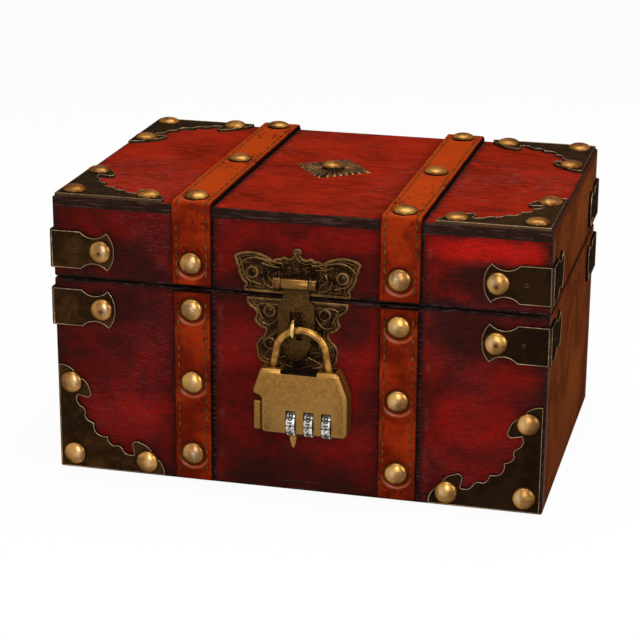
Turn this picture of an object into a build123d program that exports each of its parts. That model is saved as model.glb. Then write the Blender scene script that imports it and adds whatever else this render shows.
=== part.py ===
from build123d import *
import math
import os

# Closed box: outside of the boards, and the height of the parting line between base and lid
width = 220.0
depth = 150.0
height = 127.0
seam_height = 90.0
seam_gap = 0.5

# Boards
wall = 6.0
floor_thickness = 4.0
top_thickness = 4.5
board_round = 1.0

# Leather straps
strap_centre = 46.0
lid_strap_width = 18.0
base_strap_width = 17.0
strap_thickness = 2.5
strap_end_gap = 1.2

# Pressed metal plates: corner plates, brackets, latch and ornament
plate_thickness = 1.2
plate_inset = 1.0
relief_depth = 0.4
rim_width = 1.1
collar_width = 0.9

# Bracket folded round each upright edge, above and below the parting line
bracket_leg = 28.5
bracket_height = 17.2
bracket_from_seam = 13.25
bracket_hole_radius = 0.8
bracket_fold_round = 0.96
bracket_nail_share = 0.78
bracket_hole_share = 0.36

# Corner plate
corner_from_strap = 5.0

# Dome nails
nail_radius = 5.25
nail_height = 3.4
nail_rim = 0.4
nail_shank_radius = 0.8
nail_bite = 3.5
nail_hole_clearance = 0.05
base_nail_low = 14.0
base_nail_below_seam = 9.0
lid_nail_above_seam = 11.5
top_nail_in = 7.0

# Screws of the latch and the hinges
screw_head_radius = 1.9
screw_head_height = 1.1
screw_shank_radius = 0.7
screw_slot_length = 2.66
screw_slot_width = 0.6
screw_slot_depth = 0.6

# Top ornament
ornament_x = -2.5
ornament_y = 3.0
ornament_tip = 17.7
ornament_turn = -9.0
ornament_flutes = 28

# Butterfly latch on the front
latch_x = 1.0
upper_plate_reach = 28.3
upper_plate_height = 20.6
upper_plate_above_seam = 0.65
upper_screw_x = 20.0
upper_screw_above_seam = 9.5
lower_plate_reach = 22.5
lower_plate_top_gap = 1.2
lower_plate_height = 33.3
lower_screw_x = 12.3
lower_screws_below_seam = (21.6, 7.0)

# Latch barrel and hasp
barrel_up = 5.85
barrel_radius = 2.6
knuckle_foot_half = 2.34
barrel_gap = 0.3
barrel_end = 9.3
hasp_knuckle_reach = 5.9
side_knuckle_start = 6.3
latch_pin_radius = 0.8
pin_clearance = 0.05
pin_head_radius = 1.3
pin_head_length = 0.6
hasp_thickness = 1.5
hasp_gap = 0.4
hasp_neck = 5.75
hasp_reach = 8.15
hasp_neck_below_seam = 1.7
hasp_wide_below_staple = 1.4
hasp_tip_below_staple = 12.0
hasp_slot_half = 2.75
hasp_slot_clearance = 1.2

# Staple that the padlock hangs in
staple_aside = 0.2
staple_below_seam = 16.4
staple_leg_spacing = 8.4
staple_wire_radius = 1.0
staple_straight = 6.5
staple_bite = 3.5

# Padlock: body, shackle, dials and release lever
lock_aside = 3.2
lock_thickness = 10.5
lock_gap = 0.35
lock_height = 29.5
lock_half_width = 21.6
lock_wall = 1.7
lock_round = 2.0
notch_half_width = 8.1
notch_depth = 1.8
shackle_wire_radius = 1.6
shackle_half_span = 12.6
shackle_rise = 17.0
shackle_lean = 10.0
shackle_arch_radius = 11.1
shackle_hang_gap = 0.3
shackle_foot_depth = 3.0
foot_hole_gap = 1.0
pivot_depth = 3.6
pivot_radius = 1.0
pivot_eye_radius = 2.4
pivot_cover = 1.0
room_half_depth = 3.7
room_floor = 13.4
room_gap = 0.35
dial_radius = 6.2
dial_width = 4.1
dial_pitch = 7.9
dial_first_aside = 3.4
dial_above_bottom = 4.5
dial_forward = 0.3
dial_side_gap = 0.2
dial_end_gap = 0.4
dial_count = 3
dial_figures = 10
dial_notch = 0.35
spindle_radius = 1.2
spindle_end = 3.0
lever_width = 3.4
lever_length = 13.4
lever_depth = 6.0
lever_gap = 0.4
stem_slot_reach = 6.8
lever_round = 0.9
lever_travel = 2.5
stem_half_height = 2.0
stem_half_depth = 1.4
stem_length = 3.6
arm_width = 1.6
insert_half_depth = 1.3
insert_half_width = 6.8
insert_top_drop = 3.2
index_radius = 1.8
index_tip_radius = 0.18
index_length = 5.2
index_bar = 1.2
index_gap = 0.4

# Butt hinges on the back
hinge_from_strap = 3.5
hinge_width = 19.0
hinge_leaf_height = 15.0
hinge_leaf_thickness = 1.0
hinge_knuckle_radius = 2.0
hinge_pin_radius = 1.0
hinge_gap = 0.3
hinge_screw_spread = 5.5
hinge_screw_in = 9.5

# One overrun serves every cut that runs past a face
overrun = 1.0

# Worked out from the sizes above
seam_middle = seam_height + seam_gap / 2
lid_bottom = seam_height + seam_gap
corner_leg = width / 2 - plate_inset - strap_centre - lid_strap_width / 2 - corner_from_strap
base_nail_high = seam_height - base_nail_below_seam
base_strap_nail_heights = (base_nail_low, (base_nail_low + base_nail_high) / 2, base_nail_high)
lid_strap_nail_height = lid_bottom + lid_nail_above_seam
top_strap_nail_offset = depth / 2 - top_nail_in
upper_screw_height = lid_bottom + upper_screw_above_seam
lower_screw_heights = [seam_height - below for below in lower_screws_below_seam]
upper_plate_low = lid_bottom + upper_plate_above_seam
lower_plate_high = seam_height - lower_plate_top_gap
lower_plate_low = lower_plate_high - lower_plate_height
base_bracket_height = seam_middle - bracket_from_seam
lid_bracket_height = seam_middle + bracket_from_seam
barrel_height = upper_plate_low + barrel_up
barrel_offset = plate_thickness + barrel_gap + barrel_radius
staple_x = latch_x + staple_aside
staple_low = seam_height - staple_below_seam
hasp_neck_length = barrel_height - seam_height + hasp_neck_below_seam
hasp_wide_end = barrel_height - staple_low + hasp_wide_below_staple
hasp_length = barrel_height - staple_low + hasp_tip_below_staple
hasp_back = plate_thickness + hasp_gap
lock_x = staple_x + lock_aside
lock_back = plate_thickness + lock_gap
lock_middle = lock_back + lock_thickness / 2
staple_across = lock_x - staple_x + staple_wire_radius
arch_drop = shackle_arch_radius - math.sqrt(shackle_arch_radius**2 - staple_across**2)
shackle_top = staple_low + staple_wire_radius + shackle_hang_gap + shackle_wire_radius + arch_drop
lock_top = shackle_top - shackle_rise
lock_bottom = lock_top - lock_height
hinge_centre = strap_centre - lid_strap_width / 2 - hinge_from_strap - hinge_width / 2
hinge_offset = hinge_leaf_thickness + hinge_gap + hinge_knuckle_radius
dial_first_x = lock_x - dial_first_aside
dial_height = lock_bottom + dial_above_bottom
dial_offset = lock_middle + dial_forward

# Work planes on the five faces: x runs along the face, y up (or back on top), z out of it
front = Plane(origin=(0, -depth / 2, 0), x_dir=(1, 0, 0), z_dir=(0, -1, 0))
back = Plane(origin=(0, depth / 2, 0), x_dir=(-1, 0, 0), z_dir=(0, 1, 0))
right = Plane(origin=(width / 2, 0, 0), x_dir=(0, 1, 0), z_dir=(1, 0, 0))
left = Plane(origin=(-width / 2, 0, 0), x_dir=(0, -1, 0), z_dir=(-1, 0, 0))
top = Plane(origin=(0, 0, height), x_dir=(1, 0, 0), z_dir=(0, 0, 1))

# Half outline of the corner plate, from the tip of one leg to the corner's diagonal, in shares of the leg.
# A step of one point is a straight run and a step of two is an arc through the first to the second.
corner_start_share = (0.0, 1.0)
corner_shares = [
    ((0.03, 1.0),),
    ((0.125, 0.965), (0.184, 0.894)),
    ((0.262, 0.845), (0.300, 0.765)),
    ((0.300, 0.705), (0.262, 0.690)),
    ((0.178, 0.708),),
    ((0.172, 0.655), (0.222, 0.598)),
    ((0.250, 0.560), (0.245, 0.516)),
    ((0.268, 0.478), (0.300, 0.460)),
    ((0.333, 0.455),),
    ((0.330, 0.400), (0.353, 0.353)),
]
corner_nail_shares = ((0.14, 0.14), (0.125, 0.835), (0.835, 0.125))

# Upper half outline of a bracket's leg, from the fold to the end of the fishtail: shares of leg and half height
bracket_shares = [
    ((0.46, 1.0),),
    ((0.67, 0.70), (0.88, 1.03)),
    ((0.97, 0.58), (1.0, 0.0)),
]

# Half outline of the upper latch plate, from its top point to the parting line: shares of reach and height
upper_start_share = (0.0, 1.0)
upper_shares = [
    ((0.050, 0.983), (0.066, 0.935)),
    ((0.064, 0.900), (0.050, 0.872)),
    ((0.085, 0.805), (0.150, 0.775)),
    ((0.205, 0.812), (0.260, 0.765)),
    ((0.325, 0.765), (0.39, 0.72)),
    ((0.70, 0.875), (0.965, 0.80)),
    ((1.0, 0.735),),
    ((0.968, 0.66), (0.962, 0.575)),
    ((0.935, 0.515), (0.93, 0.44)),
    ((0.885, 0.28), (0.81, 0.155)),
    ((0.84, 0.08), (0.82, 0.0)),
]

# Half outline of the lower latch plate, from its bottom point up to the parting line, in the same shares
lower_start_share = (0.0, 0.0)
lower_shares = [
    ((0.30, 0.055), (0.50, 0.10)),
    ((0.72, 0.13), (0.80, 0.26)),
    ((0.80, 0.38), (0.71, 0.46)),
    ((0.64, 0.52), (0.63, 0.575)),
    ((0.76, 0.61), (0.86, 0.71)),
    ((0.82, 0.79), (0.88, 0.845)),
    ((0.985, 0.91), (1.0, 1.0)),
]

# Half outline of the hasp below its wide part, in shares of its reach and of the length left below it
hasp_tip_shares = [
    ((0.72, 0.08),),
    ((0.80, 0.30), (0.64, 0.54)),
    ((0.36, 0.84), (0.0, 1.0)),
]

# Corners of the padlock's body as shares of its half width and height, and how far each is rounded, as a
# share of the half width
lock_flank_share = 0.78
lock_corner_shares = [
    (-0.80, 1.0, 0.10),
    (0.80, 1.0, 0.10),
    (1.0, 0.62, 0.60),
    (1.0, 0.0, 0.13),
    (-lock_flank_share, 0.0, 0.09),
    (-lock_flank_share, 0.565, 0.09),
    (-0.985, 0.585, 0.09),
]


def face_from(start, steps):
    """A closed face: each step is a straight run to a point, or an arc through one point to another."""
    edges = []
    here = start
    for step in steps:
        if len(step) == 1:
            edges.append(Line(here, step[0]))
        else:
            edges.append(ThreePointArc(here, step[0], step[1]))
        here = step[-1]
    if math.dist(here, start) > 0:
        edges.append(Line(here, start))
    return make_face(Curve() + edges)


def sized(steps, x_size, y_size):
    """The same steps with their shares turned into lengths."""
    return [tuple((x * x_size, y * y_size) for x, y in step) for step in steps]


def with_mirror(start, steps, swap):
    """The steps of half an outline, then the same steps run backwards through a mirror."""
    points = [start] + [step[-1] for step in steps]
    whole = list(steps)
    end = swap(points[-1])
    if math.dist(end, points[-1]) > 0:
        whole.append((end,))
    for index in range(len(steps) - 1, -1, -1):
        middle = [swap(point) for point in steps[index][:-1]]
        whole.append((*middle, swap(points[index])))
    return whole


def flip_x(point):
    """The point on the other side of the y axis."""
    return (-point[0], point[1])


def flip_y(point):
    """The point on the other side of the x axis."""
    return (point[0], -point[1])


def flip_diagonal(point):
    """The point on the other side of the diagonal."""
    return (point[1], point[0])


def block(x_low, x_high, y_low, y_high, z_low, z_high):
    """A box between two corners."""
    size = Box(x_high - x_low, y_high - y_low, z_high - z_low)
    return Pos((x_low + x_high) / 2, (y_low + y_high) / 2, (z_low + z_high) / 2) * size


def rod_x(radius, x_low, x_high):
    """A round bar along X on the axis."""
    return Pos((x_low + x_high) / 2, 0, 0) * Rot(0, 90, 0) * Cylinder(radius, x_high - x_low)


def envelope(low, high):
    """The block that the boards of the base or the lid make together, with its edges rounded."""
    whole = block(-width / 2, width / 2, -depth / 2, depth / 2, low, high)
    return fillet(whole.edges(), board_round)


def strap_nail_places(face, heights):
    """Nails through the two straps on one face, at the given places along the strap."""
    return [(face, side * strap_centre, along, strap_thickness) for side in (-1, 1) for along in heights]


def bracket_nail_places(bracket_height_on_face):
    """One nail in the front or back leg of each of the four brackets at one height."""
    reach = bracket_leg * bracket_nail_share
    places = []
    for side in (-1, 1):
        for face in (front, back):
            across = side * (width / 2 - reach)
            places.append((face, across, bracket_height_on_face, plate_thickness))
    return places


def corner_nail_places(face, corner_x, corner_y, side_x, side_y):
    """Three nails in a corner plate whose corner is given and whose legs run towards side_x and side_y."""
    places = []
    for x_share, y_share in corner_nail_shares:
        x = corner_x + side_x * x_share * corner_leg
        y = corner_y + side_y * y_share * corner_leg
        places.append((face, x, y, plate_thickness))
    return places


def base_nail_places():
    """Every nail of the base."""
    places = bracket_nail_places(base_bracket_height)
    for face in (front, back):
        places += strap_nail_places(face, base_strap_nail_heights)
        for side in (-1, 1):
            corner_x = side * (width / 2 - plate_inset)
            places += corner_nail_places(face, corner_x, plate_inset, -side, 1)
    return places


def lid_nail_places():
    """Every nail of the lid, the ornament's among them."""
    places = bracket_nail_places(lid_bracket_height)
    for face in (front, back):
        places += strap_nail_places(face, (lid_strap_nail_height,))
    places += strap_nail_places(top, (-top_strap_nail_offset, 0, top_strap_nail_offset))
    for side_x in (-1, 1):
        for side_y in (-1, 1):
            corner_x = side_x * (width / 2 - plate_inset)
            corner_y = side_y * (depth / 2 - plate_inset)
            places += corner_nail_places(top, corner_x, corner_y, -side_x, -side_y)
    places.append((top, ornament_x, ornament_y, plate_thickness))
    return places


def screw_places(on_lid):
    """Screws of the latch and the hinges, in the base or in the lid."""
    places = []
    for side in (-1, 1):
        if on_lid:
            places.append((front, latch_x + side * upper_screw_x, upper_screw_height, plate_thickness))
            leaf_height = seam_middle + hinge_screw_in
        else:
            for along in lower_screw_heights:
                places.append((front, latch_x + side * lower_screw_x, along, plate_thickness))
            leaf_height = seam_middle - hinge_screw_in
        for spread in (-1, 1):
            across = side * hinge_centre + spread * hinge_screw_spread
            places.append((back, across, leaf_height, hinge_leaf_thickness))
    return places


def dome_middle(radius, low, high):
    """The point half way along the round profile of a dome of the given radius between two heights."""
    ball = (radius**2 + (high - low) ** 2) / (2 * (high - low))
    half_angle = math.asin(radius / ball) / 2
    return (ball * math.sin(half_angle), high - ball + ball * math.cos(half_angle))


def dome_nail(stack):
    """A nail whose head seats at zero and whose shank goes down through the stack into the wood."""
    tip = -(stack + nail_bite)
    middle = dome_middle(nail_radius, nail_rim, nail_height)
    steps = [
        ((nail_shank_radius, tip + nail_shank_radius),),
        ((nail_shank_radius, 0),),
        ((nail_radius, 0),),
        ((nail_radius, nail_rim),),
        (middle, (0, nail_height)),
    ]
    return revolve(Plane.XZ * face_from((0, tip), steps), axis=Axis.Z)


def cross_screw(stack):
    """A screw with a low round head that seats at zero, with a cross recess."""
    tip = -(stack + nail_bite)
    shoulder = screw_head_height / 2
    middle = dome_middle(screw_head_radius, shoulder, screw_head_height)
    steps = [
        ((screw_shank_radius, tip + screw_shank_radius),),
        ((screw_shank_radius, 0),),
        ((screw_head_radius, 0),),
        ((screw_head_radius, shoulder),),
        (middle, (0, screw_head_height)),
    ]
    screw = revolve(Plane.XZ * face_from((0, tip), steps), axis=Axis.Z)
    slot = Box(screw_slot_length, screw_slot_width, screw_slot_depth * 2)
    return screw - Pos(0, 0, screw_head_height) * slot - Pos(0, 0, screw_head_height) * Rot(0, 0, 90) * slot


def fasteners(places, maker):
    """One group of separate fasteners, each seated on top of what it holds."""
    return Compound(children=[face * (Pos(x, y, stack) * maker(stack)) for face, x, y, stack in places])


def shank_holes(places, wanted_face, radius):
    """The holes that the shanks on one face need, through what they hold and into the wood."""
    hole_radius = radius + nail_hole_clearance
    holes = []
    for face, x, y, stack in places:
        if face is wanted_face:
            length = 2 * (nail_bite + nail_hole_clearance)
            holes.append(face * (Pos(x, y, 0) * Cylinder(hole_radius, length)))
            holes.append(face * (Pos(x, y, stack / 2) * Cylinder(hole_radius, stack + overrun)))
    return holes


base_nails = base_nail_places()
lid_nails = lid_nail_places()
base_screws = screw_places(False)
lid_screws = screw_places(True)


def drilled(piece, wanted_face, nails, screws):
    """The piece with the holes of the nails and screws that go in from one face."""
    holes = shank_holes(nails, wanted_face, nail_shank_radius)
    holes += shank_holes(screws, wanted_face, screw_shank_radius)
    for hole in holes:
        piece = piece - hole
    return piece


def staple_holes():
    """Holes for the staple's two legs through the lower plate and into the front board."""
    holes = []
    for leg in (staple_low, staple_low + staple_leg_spacing):
        hole = Cylinder(staple_wire_radius + nail_hole_clearance, 2 * (staple_bite + nail_hole_clearance))
        holes.append(front * (Pos(staple_x, leg, 0) * hole))
    return holes


def walls(low, high, nails, screws):
    """Front, back, left and right boards between two heights, with every hole that goes into them."""
    whole = envelope(low, high)
    inner_x = width / 2 - wall
    inner_y = depth / 2 - wall
    front_board = whole & block(-width / 2, width / 2, -depth / 2, -inner_y, low, high)
    back_board = whole & block(-width / 2, width / 2, inner_y, depth / 2, low, high)
    left_board = whole & block(-width / 2, -inner_x, -inner_y, inner_y, low, high)
    right_board = whole & block(inner_x, width / 2, -inner_y, inner_y, low, high)
    return (
        drilled(front_board, front, nails, screws),
        drilled(back_board, back, nails, screws),
        drilled(left_board, left, nails, screws),
        drilled(right_board, right, nails, screws),
    )


def base_boards():
    """The base's floor let in between its four walls."""
    front_board, back_board, left_board, right_board = walls(0, seam_height, base_nails, base_screws)
    for hole in staple_holes():
        front_board = front_board - hole
    inner_x = width / 2 - wall
    inner_y = depth / 2 - wall
    return {
        "base_floor": block(-inner_x, inner_x, -inner_y, inner_y, 0, floor_thickness),
        "base_front_board": front_board,
        "base_back_board": back_board,
        "base_left_board": left_board,
        "base_right_board": right_board,
    }


def lid_boards():
    """The lid's top board over its four walls."""
    under_top = height - top_thickness
    above = block(-width / 2, width / 2, -depth / 2, depth / 2, under_top, height)
    sides = walls(lid_bottom, height, lid_nails, lid_screws)
    names = ("lid_front_board", "lid_back_board", "lid_left_board", "lid_right_board")
    pieces = {name: board - above for name, board in zip(names, sides)}
    top_board = envelope(lid_bottom, height) & above
    pieces["lid_top_board"] = drilled(top_board, top, lid_nails, lid_screws)
    return pieces


def lid_strap(centre):
    """A strap that runs up the front, over the top and down the back of the lid."""
    low = lid_bottom + strap_end_gap
    half = lid_strap_width / 2
    reach = depth / 2 + strap_thickness
    outer = block(centre - half, centre + half, -reach, reach, low, height + strap_thickness)
    outer = fillet(outer.edges().filter_by(Axis.X).group_by(Axis.Z)[-1], board_round + strap_thickness)
    strap = outer - envelope(lid_bottom, height)
    for face in (front, back, top):
        strap = drilled(strap, face, lid_nails, lid_screws)
    return strap


def base_strap(face, centre):
    """A flat strap down the front or back of the base."""
    half = base_strap_width / 2
    low = plate_inset
    high = seam_height - strap_end_gap
    strap = face * block(centre - half, centre + half, low, high, 0, strap_thickness)
    return drilled(strap, face, base_nails, base_screws)


def straps():
    """All six straps."""
    pieces = {}
    for name, side in (("left", -1), ("right", 1)):
        pieces["lid_strap_" + name] = lid_strap(side * strap_centre)
        pieces["base_strap_front_" + name] = base_strap(front, side * strap_centre)
        pieces["base_strap_back_" + name] = base_strap(back, -side * strap_centre)
    return pieces


def bracket_leg_face():
    """The outline of one leg, with the fold at x = 0 and the leg towards +x."""
    half = bracket_height / 2
    start = (-plate_thickness, half)
    steps = sized(bracket_shares, bracket_leg, half)
    return face_from(start, with_mirror(start, steps, flip_y))


def bracket(side_x, side_y, centre_height, nails):
    """A bracket folded round the upright edge on the given sides."""
    leg = extrude(bracket_leg_face(), amount=plate_thickness)
    leg = leg - Pos(bracket_leg * bracket_hole_share, 0, 0) * Cylinder(bracket_hole_radius, height)
    corner = (side_x * width / 2, side_y * depth / 2)
    on_long = Plane(origin=(*corner, centre_height), x_dir=(-side_x, 0, 0), z_dir=(0, side_y, 0)) * leg
    on_short = Plane(origin=(*corner, centre_height), x_dir=(0, -side_y, 0), z_dir=(side_x, 0, 0)) * leg
    folded = on_long + on_short
    outer = (corner[0] + side_x * plate_thickness, corner[1] + side_y * plate_thickness, centre_height)
    fold_edge = folded.edges().filter_by(Axis.Z).sort_by_distance(outer)[0]
    folded = fillet(fold_edge, bracket_fold_round)
    for face in (front, back, left, right):
        folded = drilled(folded, face, nails, ())
    return folded


def brackets():
    """The eight brackets, four on the base and four on the lid."""
    pieces = {}
    for part_name, centre_height, nails in (
        ("base", base_bracket_height, base_nails),
        ("lid", lid_bracket_height, lid_nails),
    ):
        for y_name, side_y in (("front", -1), ("back", 1)):
            for x_name, side_x in (("left", -1), ("right", 1)):
                name = f"{part_name}_bracket_{y_name}_{x_name}"
                pieces[name] = bracket(side_x, side_y, centre_height, nails)
    return pieces


def corner_plate(face, corner_x, corner_y, side_x, side_y, nails):
    """A scalloped plate in a corner of one face, with its legs towards side_x and side_y."""
    start = (corner_start_share[0] * corner_leg, corner_start_share[1] * corner_leg)
    steps = with_mirror(start, sized(corner_shares, corner_leg, corner_leg), flip_diagonal)
    outline = face_from(start, steps + [((0, 0),)])
    plate = extrude(outline, amount=plate_thickness)
    if side_x < 0:
        plate = mirror(plate, about=Plane.YZ)
    if side_y < 0:
        plate = mirror(plate, about=Plane.XZ)
    return drilled(face * (Pos(corner_x, corner_y, 0) * plate), face, nails, ())


def corner_plates():
    """Four corner plates low on the base's front and back, and four on top of the lid."""
    pieces = {}
    for x_name, side in (("left", -1), ("right", 1)):
        corner_x = side * (width / 2 - plate_inset)
        pieces[f"base_corner_front_{x_name}"] = corner_plate(front, corner_x, plate_inset, -side, 1, base_nails)
        pieces[f"base_corner_back_{x_name}"] = corner_plate(back, -corner_x, plate_inset, side, 1, base_nails)
        for y_name, side_y in (("front", -1), ("back", 1)):
            corner_y = side_y * (depth / 2 - plate_inset)
            name = f"lid_corner_{y_name}_{x_name}"
            pieces[name] = corner_plate(top, corner_x, corner_y, -side, -side_y, lid_nails)
    return pieces


def lid_ornament():
    """A fluted square sunburst in the middle of the lid, its edge scalloped by the ends of the flutes."""
    points = []
    for index in range(2 * ornament_flutes):
        angle = math.pi * index / ornament_flutes
        square = 1 / (abs(math.cos(angle)) + abs(math.sin(angle)))
        valley_share = 0.93 if index % 2 else 1.0
        reach = ornament_tip * square * valley_share
        points.append((reach * math.cos(angle), reach * math.sin(angle)))
    outline = make_face(Polyline(*points, close=True))
    plate = Rot(0, 0, ornament_turn) * extrude(outline, amount=plate_thickness)
    return drilled(top * (Pos(ornament_x, ornament_y, 0) * plate), top, lid_nails, ())


def pressed_plate(outline, collars):
    """A plate with a raised rim and a raised collar round each screw, seated at zero."""
    plate = extrude(outline, amount=plate_thickness)
    floor = extrude(offset(outline, amount=-rim_width), amount=relief_depth + overrun)
    pocket = Pos(0, 0, plate_thickness - relief_depth) * floor
    for x, y in collars:
        pocket = pocket - Pos(x, y, plate_thickness) * Cylinder(screw_head_radius + collar_width, 4 * overrun)
    return plate - pocket


def latch_upper_plate():
    """The upper butterfly plate on the lid, with the barrel's two fixed knuckles."""
    size = (upper_plate_reach, upper_plate_height)
    start = (upper_start_share[0] * size[0], upper_start_share[1] * size[1])
    outline = face_from(start, with_mirror(start, sized(upper_shares, *size), flip_x))
    collars = [(side * upper_screw_x, upper_screw_height - upper_plate_low) for side in (-1, 1)]
    plate = Pos(latch_x, upper_plate_low, 0) * pressed_plate(outline, collars)
    for side in (-1, 1):
        ends = sorted((side * side_knuckle_start, side * barrel_end))
        knuckle = Pos(latch_x, barrel_height, barrel_offset) * rod_x(barrel_radius, *ends)
        foot = block(*ends, -knuckle_foot_half, knuckle_foot_half, (plate_thickness - relief_depth) - barrel_offset, 0)
        plate = plate + knuckle + Pos(latch_x, barrel_height, barrel_offset) * foot
    bore = rod_x(latch_pin_radius + pin_clearance, -width / 2, width / 2)
    plate = plate - Pos(0, barrel_height, barrel_offset) * bore
    return drilled(front * plate, front, (), lid_screws)


def latch_lower_plate():
    """The lower butterfly plate on the base."""
    size = (lower_plate_reach, lower_plate_height)
    start = (lower_start_share[0] * size[0], lower_start_share[1] * size[1])
    outline = face_from(start, with_mirror(start, sized(lower_shares, *size), flip_x))
    collars = [(side * lower_screw_x, along - lower_plate_low) for side in (-1, 1) for along in lower_screw_heights]
    plate = front * (Pos(latch_x, lower_plate_low, 0) * pressed_plate(outline, collars))
    for hole in staple_holes():
        plate = plate - hole
    return drilled(plate, front, (), base_screws)


def latch_pin():
    """The pin through the latch barrel, with a head at each end."""
    pin = rod_x(latch_pin_radius, -barrel_end - pin_head_length, barrel_end + pin_head_length)
    for side in (-1, 1):
        ends = sorted((side * barrel_end, side * (barrel_end + pin_head_length)))
        pin = pin + rod_x(pin_head_radius, *ends)
    return front * (Pos(latch_x, barrel_height, barrel_offset) * pin)


def hasp():
    """The slotted hasp that hangs from the barrel over the staple."""
    wide_end = -hasp_wide_end
    tip_length = hasp_length - hasp_wide_end
    shoulder = hasp_reach - hasp_neck
    tip = [tuple((x * hasp_reach, wide_end - y * tip_length) for x, y in step) for step in hasp_tip_shares]
    steps = [
        ((hasp_neck, -hasp_neck_length + shoulder / 2),),
        ((hasp_reach, -hasp_neck_length - shoulder / 2),),
        ((hasp_reach, wide_end),),
    ] + tip
    start = (hasp_neck, 0)
    outline = face_from(start, with_mirror(start, steps, flip_x))
    plate = Pos(0, 0, hasp_back - barrel_offset) * extrude(outline, amount=hasp_thickness)
    knuckle = rod_x(barrel_radius, -hasp_knuckle_reach, hasp_knuckle_reach)
    bore = rod_x(latch_pin_radius + pin_clearance, -width / 2, width / 2)
    low = staple_low - staple_wire_radius - hasp_slot_clearance - barrel_height
    high = low + staple_leg_spacing + 2 * (staple_wire_radius + hasp_slot_clearance)
    slot = block(-hasp_slot_half, hasp_slot_half, low, high, -barrel_offset, barrel_offset)
    return front * (Pos(latch_x, barrel_height, barrel_offset) * (plate + knuckle - bore - slot))


def latch_staple():
    """A wire loop that stands out of the lower plate, its two legs driven into the wood."""
    high = staple_low + staple_leg_spacing
    middle = (staple_low + high) / 2
    bend = staple_straight + staple_leg_spacing / 2
    path = Curve() + [
        Line((staple_x, staple_low, -staple_bite), (staple_x, staple_low, staple_straight)),
        ThreePointArc((staple_x, staple_low, staple_straight), (staple_x, middle, bend),
                      (staple_x, high, staple_straight)),
        Line((staple_x, high, staple_straight), (staple_x, high, -staple_bite)),
    ]
    section = Plane(origin=path @ 0, z_dir=path % 0) * Circle(staple_wire_radius)
    return front * sweep(section, path=path)


def shackle():
    """The padlock's arched wire, with a foot on the left and a pivot eye on the right."""
    lean = math.radians(shackle_lean)
    arch_centre = shackle_top - shackle_arch_radius
    meet = (shackle_arch_radius * math.cos(lean), arch_centre + shackle_arch_radius * math.sin(lean))
    foot_low = lock_top - shackle_foot_depth
    pivot_low = lock_top - pivot_depth
    foot = (-shackle_half_span, foot_low)
    eye = (shackle_half_span, pivot_low)
    path = Curve() + [
        Line(foot, (-meet[0], meet[1])),
        ThreePointArc((-meet[0], meet[1]), (0, shackle_top), meet),
        Line(meet, eye),
    ]
    section = Plane(origin=path @ 0, z_dir=path % 0) * Circle(shackle_wire_radius)
    wire = sweep(section, path=path)
    ring = Pos(*eye, 0) * Cylinder(pivot_eye_radius, 2 * shackle_wire_radius)
    bore = Pos(*eye, 0) * Cylinder(pivot_radius + pin_clearance, lock_thickness)
    return front * (Pos(lock_x, 0, lock_middle) * (wire + ring - bore))


def lock_shells():
    """The padlock's body, hollowed for its works and split into a front and a back shell."""
    corners = [(x * lock_half_width, y * lock_height) for x, y, turn in lock_corner_shares]
    turns = [turn * lock_half_width for x, y, turn in lock_corner_shares]
    outline = make_face(FilletPolyline(*corners, radius=turns, close=True))
    body = extrude(outline, amount=lock_thickness)
    rims = body.edges().group_by(Axis.Z)
    body = fillet(rims[0] + rims[-1], lock_round)
    body = Pos(lock_x, lock_bottom, lock_back) * body
    near = lock_middle - room_half_depth
    far = lock_middle + room_half_depth
    foot_x = lock_x - shackle_half_span
    eye_x = lock_x + shackle_half_span
    room_low = lock_bottom + room_floor
    room_high = lock_top - lock_wall
    room_left = foot_x - shackle_wire_radius - foot_hole_gap
    room_right = eye_x + pivot_eye_radius + room_gap
    body -= block(room_left, room_right, room_low, room_high, near, far)
    lever_room_right = dial_first_x - dial_width / 2 - lock_wall
    lever_low = stem_height() - stem_half_height - lever_travel - lever_gap
    body -= block(room_left, lever_room_right, lever_low, room_low + overrun, near, far)
    slot_high = stem_height() + stem_half_height + lever_gap
    slot_depth = stem_half_depth + lever_gap
    body -= block(room_left - stem_slot_reach, room_left + overrun, lever_low, slot_high,
                  lock_middle - slot_depth, lock_middle + slot_depth)
    hole = shackle_wire_radius + foot_hole_gap / 2
    body -= block(foot_x - hole, foot_x + hole + foot_hole_gap, room_high - overrun, lock_top + overrun,
                  lock_middle - hole, lock_middle + hole)
    body -= block(eye_x - hole - foot_hole_gap, eye_x + hole + foot_hole_gap, room_high - overrun,
                  lock_top + overrun, lock_middle - hole, lock_middle + hole)
    body -= block(lock_x - notch_half_width, lock_x + notch_half_width, lock_top - notch_depth,
                  lock_top + overrun, 0, lock_back + lock_thickness + overrun)
    inner_notch = notch_half_width - room_gap
    body -= block(lock_x - inner_notch, lock_x + inner_notch, room_high - overrun, lock_top, near, far)
    for index in range(dial_count):
        half = dial_width / 2 + dial_side_gap
        centre = dial_first_x + index * dial_pitch
        window_high = dial_height + dial_radius + dial_end_gap
        body -= block(centre - half, centre + half, lock_bottom - overrun, window_high,
                      0, lock_back + lock_thickness + overrun)
    spindle_hole = rod_x(spindle_radius + pin_clearance, *spindle_ends())
    body -= Pos(0, dial_height, dial_offset) * spindle_hole
    pivot_hole = Cylinder(pivot_radius + pin_clearance, lock_thickness - 2 * pivot_cover)
    body -= Pos(eye_x, lock_top - pivot_depth, lock_middle) * pivot_hole
    front_half = block(-width / 2, width / 2, 0, height, lock_middle, lock_middle + lock_thickness)
    return {
        "lock_front_shell": front * (body & front_half),
        "lock_back_shell": front * (body - front_half),
    }


def stem_height():
    """The height at which the release lever's stem goes through the flank."""
    return lock_bottom + lever_gap + lever_length / 2


def spindle_ends():
    """The two ends of the spindle that carries the dials."""
    first = dial_first_x - dial_width / 2
    last = dial_first_x + (dial_count - 1) * dial_pitch + dial_width / 2
    return (first - spindle_end / 2, last + spindle_end)


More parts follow.
